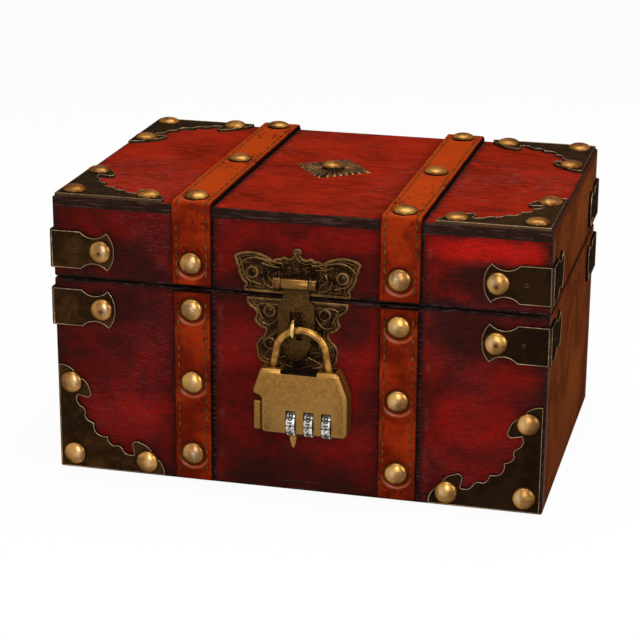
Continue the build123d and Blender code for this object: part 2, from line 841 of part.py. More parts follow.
def dial(index):
    """A number wheel with a shallow notch between each two of its figures."""
    wheel = rod_x(dial_radius, -dial_width / 2, dial_width / 2)
    bore = rod_x(spindle_radius + pin_clearance, -dial_width, dial_width)
    wheel = wheel - bore
    for turn in range(dial_figures):
        notch = Pos(0, 0, dial_radius) * Box(2 * dial_width, dial_notch, 2 * dial_notch)
        wheel = wheel - Rot(360 * (turn + 0.5) / dial_figures, 0, 0) * notch
    return front * (Pos(dial_first_x + index * dial_pitch, dial_height, dial_offset) * wheel)


def release_lever():
    """A thumb lever on the left flank, with a stem through the slot and an arm up to the shackle's foot."""
    flank = lock_x - lock_half_width * lock_flank_share - lever_gap
    middle = stem_height()
    pad = block(flank - lever_width, flank, middle - lever_length / 2, middle + lever_length / 2,
                lock_middle - lever_depth / 2, lock_middle + lever_depth / 2)
    pad = fillet(pad.edges(), lever_round)
    stem_end = flank + lever_gap + stem_length
    stem = block(flank - lever_width / 2, stem_end, middle - stem_half_height, middle + stem_half_height,
                 lock_middle - stem_half_depth, lock_middle + stem_half_depth)
    arm_high = lock_top - shackle_foot_depth - shackle_wire_radius - lever_gap
    arm = block(stem_end - arm_width, stem_end, middle - stem_half_height, arm_high,
                lock_middle - stem_half_depth, lock_middle + stem_half_depth)
    return front * (pad + stem + arm)


def lock_insert():
    """The plate inside the padlock that shows in the notch between the shackle's feet."""
    low = lock_bottom + room_floor
    high = lock_top - insert_top_drop
    return front * block(lock_x - insert_half_width, lock_x + insert_half_width, low, high,
                         lock_middle - insert_half_depth, lock_middle + insert_half_depth)


def index_point():
    """A pointed index under the first dial, on a lug below the rib beside that dial."""
    rib_low = dial_first_x + dial_width / 2 + dial_side_gap
    rib_high = dial_first_x + dial_pitch - dial_width / 2 - dial_side_gap
    bar_high = dial_height - dial_radius - index_gap
    half = index_radius
    cone_top = bar_high - index_bar
    cone = Pos(dial_first_x, cone_top - index_length / 2, lock_middle) * Rot(90, 0, 0) * Cone(
        index_radius, index_tip_radius, index_length)
    bar = block(dial_first_x - half, rib_high, cone_top, bar_high, lock_middle - half, lock_middle + half)
    lug = block(rib_low + index_gap, rib_high, cone_top, lock_bottom, lock_middle - half, lock_middle + half)
    return front * (cone + bar + lug)


def padlock():
    """Every piece of the padlock."""
    pieces = lock_shells()
    pieces["shackle"] = shackle()
    pivot = Cylinder(pivot_radius, lock_thickness - 2 * pivot_cover)
    place = Pos(lock_x + shackle_half_span, lock_top - pivot_depth, lock_middle)
    pieces["shackle_pivot"] = front * (place * pivot)
    pieces["dial_spindle"] = front * (Pos(0, dial_height, dial_offset) * rod_x(spindle_radius, *spindle_ends()))
    for index in range(dial_count):
        pieces[f"dial_{index + 1}"] = dial(index)
    pieces["release_lever"] = release_lever()
    pieces["lock_insert"] = lock_insert()
    pieces["index_point"] = index_point()
    return pieces


def hinge_leaf(centre, on_lid):
    """One leaf of a butt hinge, with its knuckles on the pin's axis."""
    up = 1 if on_lid else -1
    third = hinge_width / 3
    ends = sorted((up * seam_gap / 2, up * hinge_leaf_height))
    leaf = block(-hinge_width / 2, hinge_width / 2, *ends, 0, hinge_leaf_thickness)
    spans = [(-third / 2, third / 2)]
    if not on_lid:
        spans = [(-hinge_width / 2, -third / 2), (third / 2, hinge_width / 2)]
    for low, high in spans:
        inner = low + hinge_gap / 2 if low > -hinge_width / 2 else low
        outer = high - hinge_gap / 2 if high < hinge_width / 2 else high
        web_ends = sorted((0, up * hinge_knuckle_radius))
        leaf += Pos(0, 0, hinge_offset) * rod_x(hinge_knuckle_radius, inner, outer)
        leaf += block(inner, outer, *web_ends, hinge_leaf_thickness / 2, hinge_offset)
    leaf -= Pos(0, 0, hinge_offset) * rod_x(hinge_pin_radius + pin_clearance, -hinge_width, hinge_width)
    screws = lid_screws if on_lid else base_screws
    return drilled(back * (Pos(centre, seam_middle, 0) * leaf), back, (), screws)


def hinges():
    """The leaves of both hinges and their pins."""
    pieces = {}
    pins = []
    for name, side in (("left", 1), ("right", -1)):
        centre = side * hinge_centre
        pieces[f"hinge_upper_leaf_{name}"] = hinge_leaf(centre, True)
        pieces[f"hinge_lower_leaf_{name}"] = hinge_leaf(centre, False)
        pin = rod_x(hinge_pin_radius, centre - hinge_width / 2, centre + hinge_width / 2)
        pins.append(back * (Pos(0, seam_middle, hinge_offset) * pin))
    pieces["hinge_pins"] = Compound(children=pins)
    return pieces


def latch():
    """The latch's plates, staple, pin and hasp."""
    return {
        "latch_upper_plate": latch_upper_plate(),
        "latch_lower_plate": latch_lower_plate(),
        "latch_staple": latch_staple(),
        "latch_pin": latch_pin(),
        "hasp": hasp(),
    }


def fastener_groups():
    """The nails and screws of the base and of the lid."""
    return {
        "base_nails": fasteners(base_nails, dome_nail),
        "lid_nails": fasteners(lid_nails, dome_nail),
        "base_screws": fasteners(base_screws, cross_screw),
        "lid_screws": fasteners(lid_screws, cross_screw),
    }


def build():
    """Every node of the box by name."""
    pieces = {}
    pieces.update(base_boards())
    pieces.update(lid_boards())
    pieces.update(straps())
    pieces.update(brackets())
    pieces.update(corner_plates())
    pieces["lid_ornament"] = lid_ornament()
    pieces.update(latch())
    pieces.update(padlock())
    pieces.update(hinges())
    pieces.update(fastener_groups())
    return pieces


os.makedirs("parts", exist_ok=True)
for node, shape in build().items():
    export_step(shape, f"parts/{node}.step")
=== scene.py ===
"""Dresses the treasure chest box: stained boards, stitched straps, dome nails, pressed plates and dial padlock.

Lengths are in metres, in the part's own frame: x to the right, y to the back, z up.
"""

from __future__ import annotations

import functools
import logging
import math
import random
from dataclasses import dataclass, field
from enum import Enum
from typing import Callable, Iterable, Optional, Sequence, Union

import bmesh
import bpy
from mathutils import Matrix, Vector, noise

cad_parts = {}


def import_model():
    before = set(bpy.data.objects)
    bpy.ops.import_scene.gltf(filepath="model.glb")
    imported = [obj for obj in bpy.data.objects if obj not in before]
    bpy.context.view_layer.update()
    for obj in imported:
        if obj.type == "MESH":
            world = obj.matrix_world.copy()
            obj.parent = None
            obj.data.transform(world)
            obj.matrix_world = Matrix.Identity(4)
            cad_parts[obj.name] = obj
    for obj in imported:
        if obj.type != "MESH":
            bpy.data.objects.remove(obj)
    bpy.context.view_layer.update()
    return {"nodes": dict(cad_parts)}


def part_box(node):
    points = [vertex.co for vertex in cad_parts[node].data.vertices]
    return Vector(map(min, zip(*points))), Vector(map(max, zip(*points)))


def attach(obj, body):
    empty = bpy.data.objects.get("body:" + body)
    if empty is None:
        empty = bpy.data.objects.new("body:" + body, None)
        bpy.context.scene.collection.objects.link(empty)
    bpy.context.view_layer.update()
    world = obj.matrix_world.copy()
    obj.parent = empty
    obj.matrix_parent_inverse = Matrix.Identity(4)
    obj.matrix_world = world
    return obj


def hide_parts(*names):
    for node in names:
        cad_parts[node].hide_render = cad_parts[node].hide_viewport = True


LOG = logging.getLogger("treasure_chest")
MM = 0.001
Triple = tuple[float, float, float]
Socket = bpy.types.NodeSocket
Value = Union[float, Socket]
Sockets = dict[str, Socket]
Vert = bmesh.types.BMVert
Face = bmesh.types.BMFace
Material = bpy.types.Material


def tint(code: str) -> tuple[float, float, float, float]:
    """Turns a screen colour such as 8d2214 into a linear colour with an alpha of one."""
    parts = [int(code[at:at + 2], 16) / 255 for at in (0, 2, 4)]
    return (*(p / 12.92 if p <= 0.04045 else ((p + 0.055) / 1.055) ** 2.4 for p in parts), 1.0)


def link(name: str, data: bpy.types.ID) -> bpy.types.Object:
    """Makes an object and puts it in the scene.

    Args:
        name: the object's name.
        data: its mesh, curve, lamp or camera.

    Returns:
        The new object.
    """
    made = bpy.data.objects.new(name, data)
    bpy.context.scene.collection.objects.link(made)
    return made


def peak(value: float, middle: float, width: float) -> float:
    """A smooth hill of height one round a middle."""
    return math.exp(-(((value - middle) / width) ** 2))


def clamp(value: float) -> float:
    """Keeps a value between zero and one."""
    return max(0.0, min(1.0, value))


class Body(Enum):
    """The bodies that pieces ride on."""

    BOX = "box"
    LID = "lid"
    HASP = "hasp"
    SHACKLE = "shackle"
    LOCK = "lock_body"
    LEVER = "release_lever"
    DIAL_1 = "dial_1"
    DIAL_2 = "dial_2"
    DIAL_3 = "dial_3"

    @classmethod
    def of(cls, node: str) -> Body:
        """The body of a strap, plate or nail, by its node's name."""
        return cls.LID if node.startswith("lid") else cls.BOX


class Side(Enum):
    """The outer faces that plates and nails lie on: axes to the right, up and out, and how far out, in millimetres."""

    FRONT = ((1, 0, 0), (0, 0, 1), (0, -1, 0), 75)
    BACK = ((-1, 0, 0), (0, 0, 1), (0, 1, 0), 75)
    RIGHT = ((0, 1, 0), (0, 0, 1), (1, 0, 0), 110)
    LEFT = ((0, -1, 0), (0, 0, 1), (-1, 0, 0), 110)
    TOP = ((1, 0, 0), (0, 1, 0), (0, 0, 1), 127)

    def __init__(self, right: Triple, up: Triple, out: Triple, wall: float) -> None:
        """Keeps the axes as vectors and the distance in metres."""
        self.right, self.up, self.out = Vector(right), Vector(up), Vector(out)
        self.wall = wall * MM

    def frame(self, middle: Vector) -> Matrix:
        """The placing of something at a point of the face, with its z axis pointing out."""
        return Matrix.Translation(middle) @ Matrix((self.right, self.up, self.out)).transposed().to_4x4()


class GrainAxis(Enum):
    """Which way a board's grain runs: noise scales along x, y and z."""

    ACROSS = (300.0, 2500.0, 2500.0)
    DEEP = (2500.0, 230.0, 2500.0)
    LID_TOP = (150.0, 1000.0, 1500.0)


class Tree:
    """Adds and wires shader nodes in one node tree."""

    def __init__(self, tree: bpy.types.NodeTree) -> None:
        """Keeps the tree that the nodes go into."""
        self.tree = tree
        self.count = 0

    @classmethod
    def of(cls, owner: Union[Material, bpy.types.World]) -> Tree:
        """Empties the node tree of a material or a world and gives it.

        Args:
            owner: the material or world.

        Returns:
            Its node tree.
        """
        owner.use_nodes = True
        owner.node_tree.nodes.clear()
        return cls(owner.node_tree)

    def node(self, kind: str, inputs: Optional[dict[Union[int, str], object]] = None,
             **settings: object) -> bpy.types.Node:
        """Adds a node, sets its options and fills or wires its inputs.

        Args:
            kind: the node's type name, without ShaderNode before it.
            inputs: value or socket for each input, by name or number.
            **settings: options of the node, such as its operation.

        Returns:
            The new node.
        """
        made = self.tree.nodes.new(kind if kind.startswith("NodeGroup") else f"ShaderNode{kind}")
        made.location = (200 * (self.count % 12), -260 * (self.count // 12))
        self.count += 1
        for name, setting in settings.items():
            setattr(made, name, setting)
        for name, value in (inputs or {}).items():
            self.put(made.inputs[name], value)
        return made

    def put(self, socket: Socket, value: object) -> None:
        """Wires a socket into an input, or sets the input's value, which may be a colour code.

        Args:
            socket: the input.
            value: a socket, a value or a colour code.
        """
        if isinstance(value, bpy.types.NodeSocket):
            self.tree.links.new(value, socket)
        else:
            socket.default_value = tint(value) if isinstance(value, str) else value

    def math(self, operation: str, first: Value, second: Value = 0.0, clamped: bool = False) -> Socket:
        """Joins two values by one sum and returns the result."""
        return self.node("Math", {0: first, 1: second}, operation=operation, use_clamp=clamped).outputs[0]

    def times(self, first: Value, second: Value) -> Socket:
        """Multiplies two values."""
        return self.math("MULTIPLY", first, second)

    def plus(self, first: Value, second: Value) -> Socket:
        """Adds two values."""
        return self.math("ADD", first, second)

    def minus(self, first: Value, second: Value, clamped: bool = False) -> Socket:
        """Takes the second value from the first."""
        return self.math("SUBTRACT", first, second, clamped)

    def most(self, *values: Value) -> Socket:
        """The largest of some values."""
        return functools.reduce(functools.partial(self.math, "MAXIMUM"), values)

    def least(self, *values: Value) -> Socket:
        """The smallest of some values."""
        return functools.reduce(functools.partial(self.math, "MINIMUM"), values)

    def vector(self, operation: str, first: object, second: object = (0.0, 0.0, 0.0)) -> Socket:
        """Joins two vectors by one sum and returns the vector."""
        return self.node("VectorMath", {0: first, 1: second}, operation=operation).outputs[0]

    def xyz(self, vector: Socket) -> Sequence[Socket]:
        """Takes a vector apart."""
        return self.node("SeparateXYZ", {0: vector}).outputs

    def mix(self, amount: Value, low: object, high: object) -> Socket:
        """Mixes two colours and returns the result."""
        return self.node("Mix", {0: amount, 6: low, 7: high}, data_type="RGBA").outputs[2]

    def blend(self, amount: Value, low: Value, high: Value) -> Socket:
        """Mixes two values and returns the result."""
        return self.node("Mix", {0: amount, 2: low, 3: high}, data_type="FLOAT").outputs[0]

    def step(self, value: Value, start: Value, end: Value, low: float = 0.0, high: float = 1.0) -> Socket:
        """Runs smoothly from low to high as the value goes from start to end."""
        inputs = {0: value, 1: start, 2: end, 3: low, 4: high}
        return self.node("MapRange", inputs, interpolation_type="SMOOTHSTEP").outputs[0]

    def ramp(self, value: Value, *stops: tuple[float, str]) -> Socket:
        """Colours a value by a row of stops.

        Args:
            value: what is coloured.
            *stops: place and colour code of each stop.

        Returns:
            The colour.
        """
        made = self.node("ValToRGB", {0: value})
        row = made.color_ramp.elements
        while len(row) < len(stops):
            row.new(0.5)
        for element, (place, code) in zip(row, stops):
            element.position, element.color = place, tint(code)
        return made.outputs[0]

    def noise(self, point: Socket, scale: Value, detail: float = 3.0, roughness: float = 0.5,
              distortion: float = 0.0) -> Socket:
        """Adds noise at a scale and returns its value."""
        return self.node("TexNoise", {"Vector": point, "Scale": scale, "Detail": detail, "Roughness": roughness,
                                      "Distortion": distortion}).outputs[0]

    def cells(self, point: Socket, scale: Value, feature: str = "F1") -> Socket:
        """Adds a cell pattern and returns the distance in it."""
        return self.node("TexVoronoi", {"Vector": point, "Scale": scale}, feature=feature).outputs["Distance"]

    def scaled(self, point: Socket, scale: Triple, turn: Triple = (0.0, 0.0, 0.0)) -> Socket:
        """Stretches and turns the pattern's coordinates."""
        return self.node("Mapping", {"Vector": point, "Scale": scale, "Rotation": turn}).outputs[0]

    def bump(self, height: Socket, depth: float, strength: float) -> Socket:
        """Turns a height of zero to one into a normal, depth metres deep."""
        return self.node("Bump", {"Height": height, "Distance": depth, "Strength": strength}).outputs[0]


def edge_distance(tree: Tree, point: Socket, normal: Socket, low: Socket, high: Socket) -> Sockets:
    """How far a point on a board's face is from that face's nearest edge, in metres.

    Args:
        tree: the group's tree.
        point: a place on the board.
        normal: the way out of its face.
        low: the board's low corner.
        high: its high corner.

    Returns:
        The distance.
    """
    apart = tree.xyz(tree.vector("MINIMUM", tree.vector("SUBTRACT", point, low), tree.vector("SUBTRACT", high, point)))
    facing = tree.xyz(tree.vector("ABSOLUTE", normal))
    return {"distance": tree.least(*(
        tree.plus(apart[axis], tree.math("GREATER_THAN", facing[axis], 0.85)) for axis in range(3)))}


def wood_grain(tree: Tree, along: Socket, point: Socket) -> Sockets:
    """Fine streaks, dark pores, slow blotches and pale scuffs of stained wood.

    Args:
        tree: the group's tree.
        along: the place, stretched along the grain.
        point: the place.

    Returns:
        A mask for each of them, and the height.
    """
    fine = tree.noise(along, 1.0, 3.0, 0.7, 0.25)
    streaks = tree.blend(0.6, tree.noise(along, 0.42, 3.0, 0.6, 0.2), fine)
    flecks = tree.step(tree.noise(point, 1300.0, 2.0, 0.6), 0.56, 0.68)
    pores = tree.most(tree.step(tree.noise(along, 1.5, 2.0, 0.6, 0.2), 0.56, 0.66), tree.times(flecks, 0.7))
    fibres = tree.step(tree.noise(along, 0.95, 2.0, 0.6, 0.2), 0.5, 0.62)
    places = tree.step(tree.noise(point, 21.0, 3.0, 0.6, 0.5), 0.47, 0.64)
    return {"streaks": tree.step(streaks, 0.30, 0.70), "pores": pores,
            "blotches": tree.step(tree.noise(point, 30.0, 4.0, 0.62, 0.9), 0.32, 0.68),
            "scuffs": tree.times(fibres, places), "height": tree.minus(fine, tree.times(pores, 0.6))}


def round_stain(tree: Tree, point: Socket, middle: Socket, reach: Socket) -> Sockets:
    """A soft, ragged patch, for painted shadow, dark staining and painted light: one at its middle, nothing past its
    reach.

    Args:
        tree: the group's tree.
        point: the place.
        middle: the stain's middle.
        reach: its half sizes.

    Returns:
        Its mask.
    """
    share = tree.vector("DIVIDE", tree.vector("SUBTRACT", point, middle), reach)
    length = tree.node("VectorMath", {0: share}, operation="LENGTH").outputs["Value"]
    ragged = tree.times(tree.minus(tree.noise(point, 70.0, 4.0, 0.6), 0.5), 0.9)
    return {"mask": tree.step(tree.plus(length, ragged), 1.0, 0.35)}


def metal_wear(tree: Tree, point: Socket, scale: Socket) -> Sockets:
    """Patina clouds, small pits and fine scratches of old metal.

    Args:
        tree: the group's tree.
        point: the place.
        scale: the clouds' noise scale.

    Returns:
        A mask for each of them, and the height.
    """
    clouds = tree.noise(point, scale, 5.0, 0.62, 0.5)
    specks = tree.noise(point, tree.times(scale, 7.0), 3.0, 0.6)
    scratches = tree.noise(tree.scaled(point, (2600.0, 190.0, 420.0), (0.4, 0.2, 0.7)), 1.0, 1.0, 0.4)
    return {"clouds": tree.step(clouds, 0.36, 0.64), "specks": tree.step(specks, 0.58, 0.72),
            "scratches": tree.step(scratches, 0.62, 0.74), "height": tree.plus(specks, tree.times(clouds, 0.7))}


def hide_grain(tree: Tree, point: Socket) -> Sockets:
    """Pebbled grain, creases, clouds and dark nicks of worn leather.

    Args:
        tree: the group's tree.
        point: the place.

    Returns:
        A mask for each of them, and the height.
    """
    creases = tree.noise(tree.scaled(point, (120.0, 320.0, 320.0)), 1.0, 4.0, 0.6, 1.2)
    nicks = tree.noise(tree.scaled(point, (520.0, 300.0, 300.0), (0.3, 0.6, 0.4)), 1.0, 2.0, 0.5, 0.9)
    bruised = tree.step(tree.noise(point, 34.0, 2.0, 0.5), 0.47, 0.56)
    pebbles = tree.times(tree.cells(point, 1500.0, "SMOOTH_F1"), 0.35)
    return {"clouds": tree.step(tree.noise(point, 60.0, 4.0, 0.6, 0.4), 0.34, 0.66),
            "creases": tree.step(creases, 0.3, 0.7), "nicks": tree.times(tree.step(nicks, 0.58, 0.63), bruised),
            "height": tree.plus(pebbles, tree.times(creases, 0.6))}


class Effects:
    """Shader node groups that more than one finish uses, each built once."""

    def __init__(self) -> None:
        """Starts with no group built."""
        self.built: dict[str, bpy.types.NodeTree] = {}

    def group(self, wire: Callable[..., Sockets], labels: Iterable[str]) -> bpy.types.NodeTree:
        """Gives the group of one effect, and makes it the first time.

        Args:
            wire: the effect, which fills the group.
            labels: the names of its inputs, all vectors but scale.

        Returns:
            The group's node tree.
        """
        name = wire.__name__
        if name not in self.built:
            group = self.built[name] = bpy.data.node_groups.new(name, "ShaderNodeTree")
            for label in labels:
                kind = "Float" if label == "scale" else "Vector"
                group.interface.new_socket(label, in_out="INPUT", socket_type=f"NodeSocket{kind}")
            tree = Tree(group)
            given = tree.node("NodeGroupInput").outputs
            found = wire(tree, **{label: given[label] for label in labels})
            for label in found:
                group.interface.new_socket(label, in_out="OUTPUT", socket_type="NodeSocketFloat")
            tree.node("NodeGroupOutput", found)
        return self.built[name]


class Finish:
    """One material under way: its tree, its surface shader and its coordinates."""

    def __init__(self, name: str, effects: Effects) -> None:
        """Makes an empty material with a Principled surface.

        Args:
            name: the material's name.
            effects: the shared node groups.
        """
        self.effects = effects
        self.material = bpy.data.materials.new(name)
        self.tree = Tree.of(self.material)
        self.surface = self.tree.node("BsdfPrincipled")
        self.tree.node("OutputMaterial", {"Surface": self.surface.outputs[0]})
        place = self.tree.node("TexCoord").outputs
        self.point, self.normal = place["Object"], place["Normal"]

    def use(self, wire: Callable[..., Sockets], **inputs: object) -> Sequence[Socket]:
        """Places a shared effect at the material's own coordinates and gives its outputs.

        Args:
            wire: the effect.
            **inputs: its inputs, besides the point.

        Returns:
            The effect's outputs.
        """
        inputs["point"] = self.point
        group = self.effects.group(wire, inputs)
        return self.tree.node("Group", inputs, node_tree=group).outputs

    def attribute(self, name: str) -> Socket:
        """The value that a piece's mesh carries under a name."""
        return self.tree.node("Attribute", attribute_name=name).outputs["Fac"]

    def set(self, **values: object) -> Material:
        """Fills inputs of the surface shader, with underscores for spaces, and returns the material.

        Args:
            **values: value, socket or colour code of each input.

        Returns:
            The finished material.
        """
        for name, value in values.items():
            self.tree.put(self.surface.inputs[name.replace("_", " ")], value)
        return self.material


@dataclass(frozen=True)
class Stain:
    """A place on the wood made darker or brighter: middle and reach in millimetres, and how strong it is; the dark
    ones are partly painted shadow and the bright ones painted light.
    """

    middle: Triple
    reach: Triple
    strength: float


@dataclass(frozen=True)
class StainedWood:
    """Red stained wood, darkened at its edges and beside the hardware, partly by painted shadow, with patches of
    painted light.
    """

    name: str
    low: Triple
    high: Triple
    grain: GrainAxis
    bright: str = "700f0b"
    middle: str = "510e0a"
    dark: str = "3a0e0b"
    shadow: str = "21100d"
    burnt: str = "150e0c"
    scraped: str = "4f383a"
    scuff: str = "5c2c31"
    # Colour of the patches of painted light.
    glow: str = "a01612"
    chafe: str = "8a625c"
    bare: tuple[str, str] = ("3c1a10", "6b3420")
    ends: tuple[str, str, str] = ("3c1c0d", "512712", "63301a")
    ends_shadow: str = "2a140b"
    scuffed: float = 0.5
    edge_width: float = 10 * MM
    edge_strength: float = 0.8
    torn: float = 18 * MM
    rim: tuple[float, float] = (1.6 * MM, 0.6 * MM)
    straps: bool = True
    strap_centre: float = 46 * MM
    strap_shade: tuple[float, float] = (16 * MM, 8.5 * MM)
    strap_line: tuple[float, float] = (10.2 * MM, 9.5 * MM)
    strap_offset: float = 0.6 * MM
    chafed_at: float = 12.4 * MM
    chafed_width: tuple[float, float] = (1.8 * MM, 0.2 * MM)
    black_edge: bool = False
    sill: float = 0.0
    sill_width: tuple[float, float] = (0.55 * MM, 0.15 * MM)
    gloss: float = 0.02
    blotchy: float = 0.6
    # Dark patches, partly painted shadow, and bright patches of painted light.
    stains: tuple[Stain, ...] = ()
    glows: tuple[Stain, ...] = ()
    inner_low: Triple = (-104.5 * MM, -69.5 * MM, 3.5 * MM)
    inner_high: Triple = (104.5 * MM, 69.5 * MM, 123 * MM)

    def make(self, effects: Effects) -> Material:
        """Builds the material.

        Args:
            effects: the shared node groups.

        Returns:
            The finished material.
        """
        finish = Finish(self.name, effects)
        tree, point = finish.tree, finish.point
        along = tree.scaled(point, self.grain.value)
        grain = finish.use(wood_grain, along=along)
        streaks = grain["streaks"]
        tone = tree.blend(self.blotchy, streaks, grain["blotches"])
        colour = tree.ramp(tone, (0.10, self.dark), (0.45, self.middle), (0.88, self.bright))
        # Painted light: brighter red patches where light falls on the wood.
        for glow in self.glows:
            mask = tree.times(self.spot(finish, glow), tree.blend(streaks, 0.45, 1.0))
            colour = tree.mix(mask, colour, self.glow)
        colour = tree.mix(tree.times(grain["scuffs"], self.scuffed), colour, self.scuff)
        distance = finish.use(edge_distance, normal=finish.normal, low=self.low, high=self.high)[0]
        torn = tree.blend(0.5, tree.noise(along, 0.3, 4.0, 0.7), tree.noise(point, 110.0, 4.0, 0.65))
        ragged = tree.times(tree.minus(torn, 0.5), self.torn)
        shade = tree.times(tree.step(tree.plus(distance, ragged), self.edge_width, 0.0), self.edge_strength)
        rim = tree.step(tree.plus(distance, tree.times(ragged, 0.16)), *self.rim)
        place = tree.xyz(point)
        facing = tree.xyz(tree.vector("ABSOLUTE", finish.normal))
        if self.straps:
            # The band and the thin black line beside each strap reach further on its right: partly the strap's painted
            # shadow, partly dark staining and black glue.
            off = tree.minus(place[0], tree.times(tree.math("SIGN", place[0]), self.strap_centre))
            left = tree.times(tree.math("LESS_THAN", off, 0.0), self.strap_offset)
            beside = tree.plus(tree.math("ABSOLUTE", off), left)
            band = tree.step(tree.plus(beside, tree.times(ragged, 0.6)), *self.strap_shade)
            line = tree.step(tree.plus(beside, tree.times(ragged, 0.07)), *self.strap_line)
            shade = tree.most(shade, tree.times(band, 0.6))
            rim = tree.most(rim, line)
            chafed = tree.step(tree.math("ABSOLUTE", tree.minus(off, self.chafed_at)), *self.chafed_width)
            chafed = tree.times(chafed, tree.step(tree.noise(point, 150.0, 4.0, 0.7), 0.48, 0.66))
        # Dark patches darken the wood like its edges; they are partly painted shadow.
        for stain in self.stains:
            shade = tree.most(shade, self.spot(finish, stain))
        broken = tree.minus(tree.times(shade, 1.2), tree.times(streaks, 0.28), True)
        broken = tree.most(broken, tree.times(grain["pores"], 0.5))
        colour = tree.mix(broken, colour, self.shadow)
        if self.straps:
            colour = tree.mix(tree.times(chafed, 0.12), colour, self.chafe)
        if self.black_edge:
            rim = tree.most(rim, tree.step(facing[1], 0.3, 0.5))
        worn = tree.step(tree.noise(along, 0.75, 4.0, 0.7), 0.5, 0.64)
        dry = tree.mix(tree.times(worn, 0.75), self.burnt, self.scraped)
        colour = tree.mix(rim, colour, dry)
        if self.sill > 0:
            off = tree.plus(tree.math("ABSOLUTE", tree.minus(place[2], self.sill)), tree.times(ragged, 0.05))
            colour = tree.mix(tree.step(off, *self.sill_width, 0.0, 0.7), colour, dry)
        bare = tree.ramp(streaks, (0.1, self.bare[0]), (0.9, self.bare[1]))
        colour = tree.mix(self.inside(finish), colour, bare)
        if self.straps:
            # The ends of the boards take the side boards' browner colours: a painted warm reflection, darkened by the
            # same shade.
            brown = tree.ramp(tone, *zip((0.1, 0.5, 0.9), self.ends))
            brown = tree.mix(tree.times(shade, 0.5), brown, self.ends_shadow)
            colour = tree.mix(tree.step(facing[0], 0.8, 0.95), colour, brown)
        return finish.set(Base_Color=colour, Roughness=tree.blend(tree.most(broken, rim), 0.5, 0.72),
                          Normal=tree.bump(grain["height"], 0.10 * MM, 0.7), Specular_IOR_Level=self.gloss)

    def spot(self, finish: Finish, stain: Stain) -> Socket:
        """A mask for one dark patch, partly painted shadow, or one bright patch of painted light."""
        middle, reach = (tuple(value * MM for value in part) for part in (stain.middle, stain.reach))
        return finish.tree.times(finish.use(round_stain, middle=middle, reach=reach)[0], stain.strength)

    def inside(self, finish: Finish) -> Socket:
        """A mask that is one on the faces inside the box and the lid.

        Args:
            finish: the material under way.

        Returns:
            The mask.
        """
        tree = finish.tree
        above = tree.vector("SUBTRACT", finish.point, self.inner_low)
        below = tree.vector("SUBTRACT", self.inner_high, finish.point)
        return tree.math("GREATER_THAN", tree.least(*tree.xyz(tree.vector("MINIMUM", above, below))), 0.0)


@dataclass(frozen=True)
class OldMetal:
    """Old metal with clouded tarnish, pits and rubbed places."""

    name: str
    bright: str
    middle: str
    dark: str
    rubbed: str
    roughness: tuple[float, float]
    metallic: float
    scale: float
    pits: float
    specks: float
    rub: float
    spread: float = 1.0
    # Colour of dirt and painted shade.
    soot: str = "120c08"
    stipple: float = 0.0
    gloss: float = 0.5
    edge: str = "ffffff"
    scratched: float = 0.18
    smooth_rims: bool = False

    def make(self, effects: Effects) -> Material:
        """Builds the material, brighter by one value of the mesh, which holds rubbed wear and painted highlights, and
        darker by another, which holds dirt and painted shade.

        Args:
            effects: the shared node groups.

        Returns:
            The finished material.
        """
        finish = Finish(self.name, effects)
        tree, point = finish.tree, finish.point
        wear = finish.use(metal_wear, scale=self.scale)
        clouds, specks, height = wear["clouds"], wear["specks"], wear["height"]
        spread = tree.step(clouds, 0.0, 1.0, 0.5 - self.spread / 2, 0.5 + self.spread / 2)
        colour = tree.ramp(spread, (0.0, self.dark), (0.5, self.middle), (1.0, self.bright))
        colour = tree.mix(tree.times(specks, self.specks), colour, self.dark)
        colour = tree.mix(tree.times(wear["scratches"], self.scratched), colour, self.rubbed)
        if self.stipple > 0:
            swirl = tree.node("TexNoise", {"Vector": point, "Scale": self.stipple * 0.5}).outputs[1]
            warped = tree.vector("ADD", point, tree.vector("MULTIPLY", swirl, (1.1 / self.stipple,) * 3))
            calm = tree.step(finish.attribute("rub"), 0.15, 0.4, 0.0, float(self.smooth_rims))
            grains = tree.most(tree.step(tree.cells(warped, self.stipple), 0.62, 0.12), calm)
            height = tree.plus(tree.times(height, 0.4), grains)
            crown = tree.times(tree.step(grains, 0.55, 1.0), tree.step(clouds, 0.2, 0.9, 0.12, 0.5))
            crown = tree.times(crown, tree.minus(1.0, calm))
            colour = tree.mix(tree.step(grains, 0.5, 0.0, 0.0, 0.75), colour, self.dark)
            colour = tree.mix(crown, colour, self.rubbed)
        rub, grime = tree.times(finish.attribute("rub"), self.rub), finish.attribute("grime")
        broken = tree.times(rub, tree.step(wear["height"], 0.5, 0.85, 1.0, 0.35))
        # The rubbed colour also paints highlights and the dark colour also paints shade, by the mesh's two values.
        colour = tree.mix(grime, tree.mix(broken, colour, self.rubbed), self.soot)
        rough = tree.blend(tree.most(specks, grime), *self.roughness)
        return finish.set(Base_Color=colour, Roughness=tree.blend(rub, rough, self.roughness[0]),
                          Metallic=self.metallic, Normal=tree.bump(height, self.pits * MM, 0.7),
                          Specular_IOR_Level=self.gloss, Specular_Tint=self.edge)


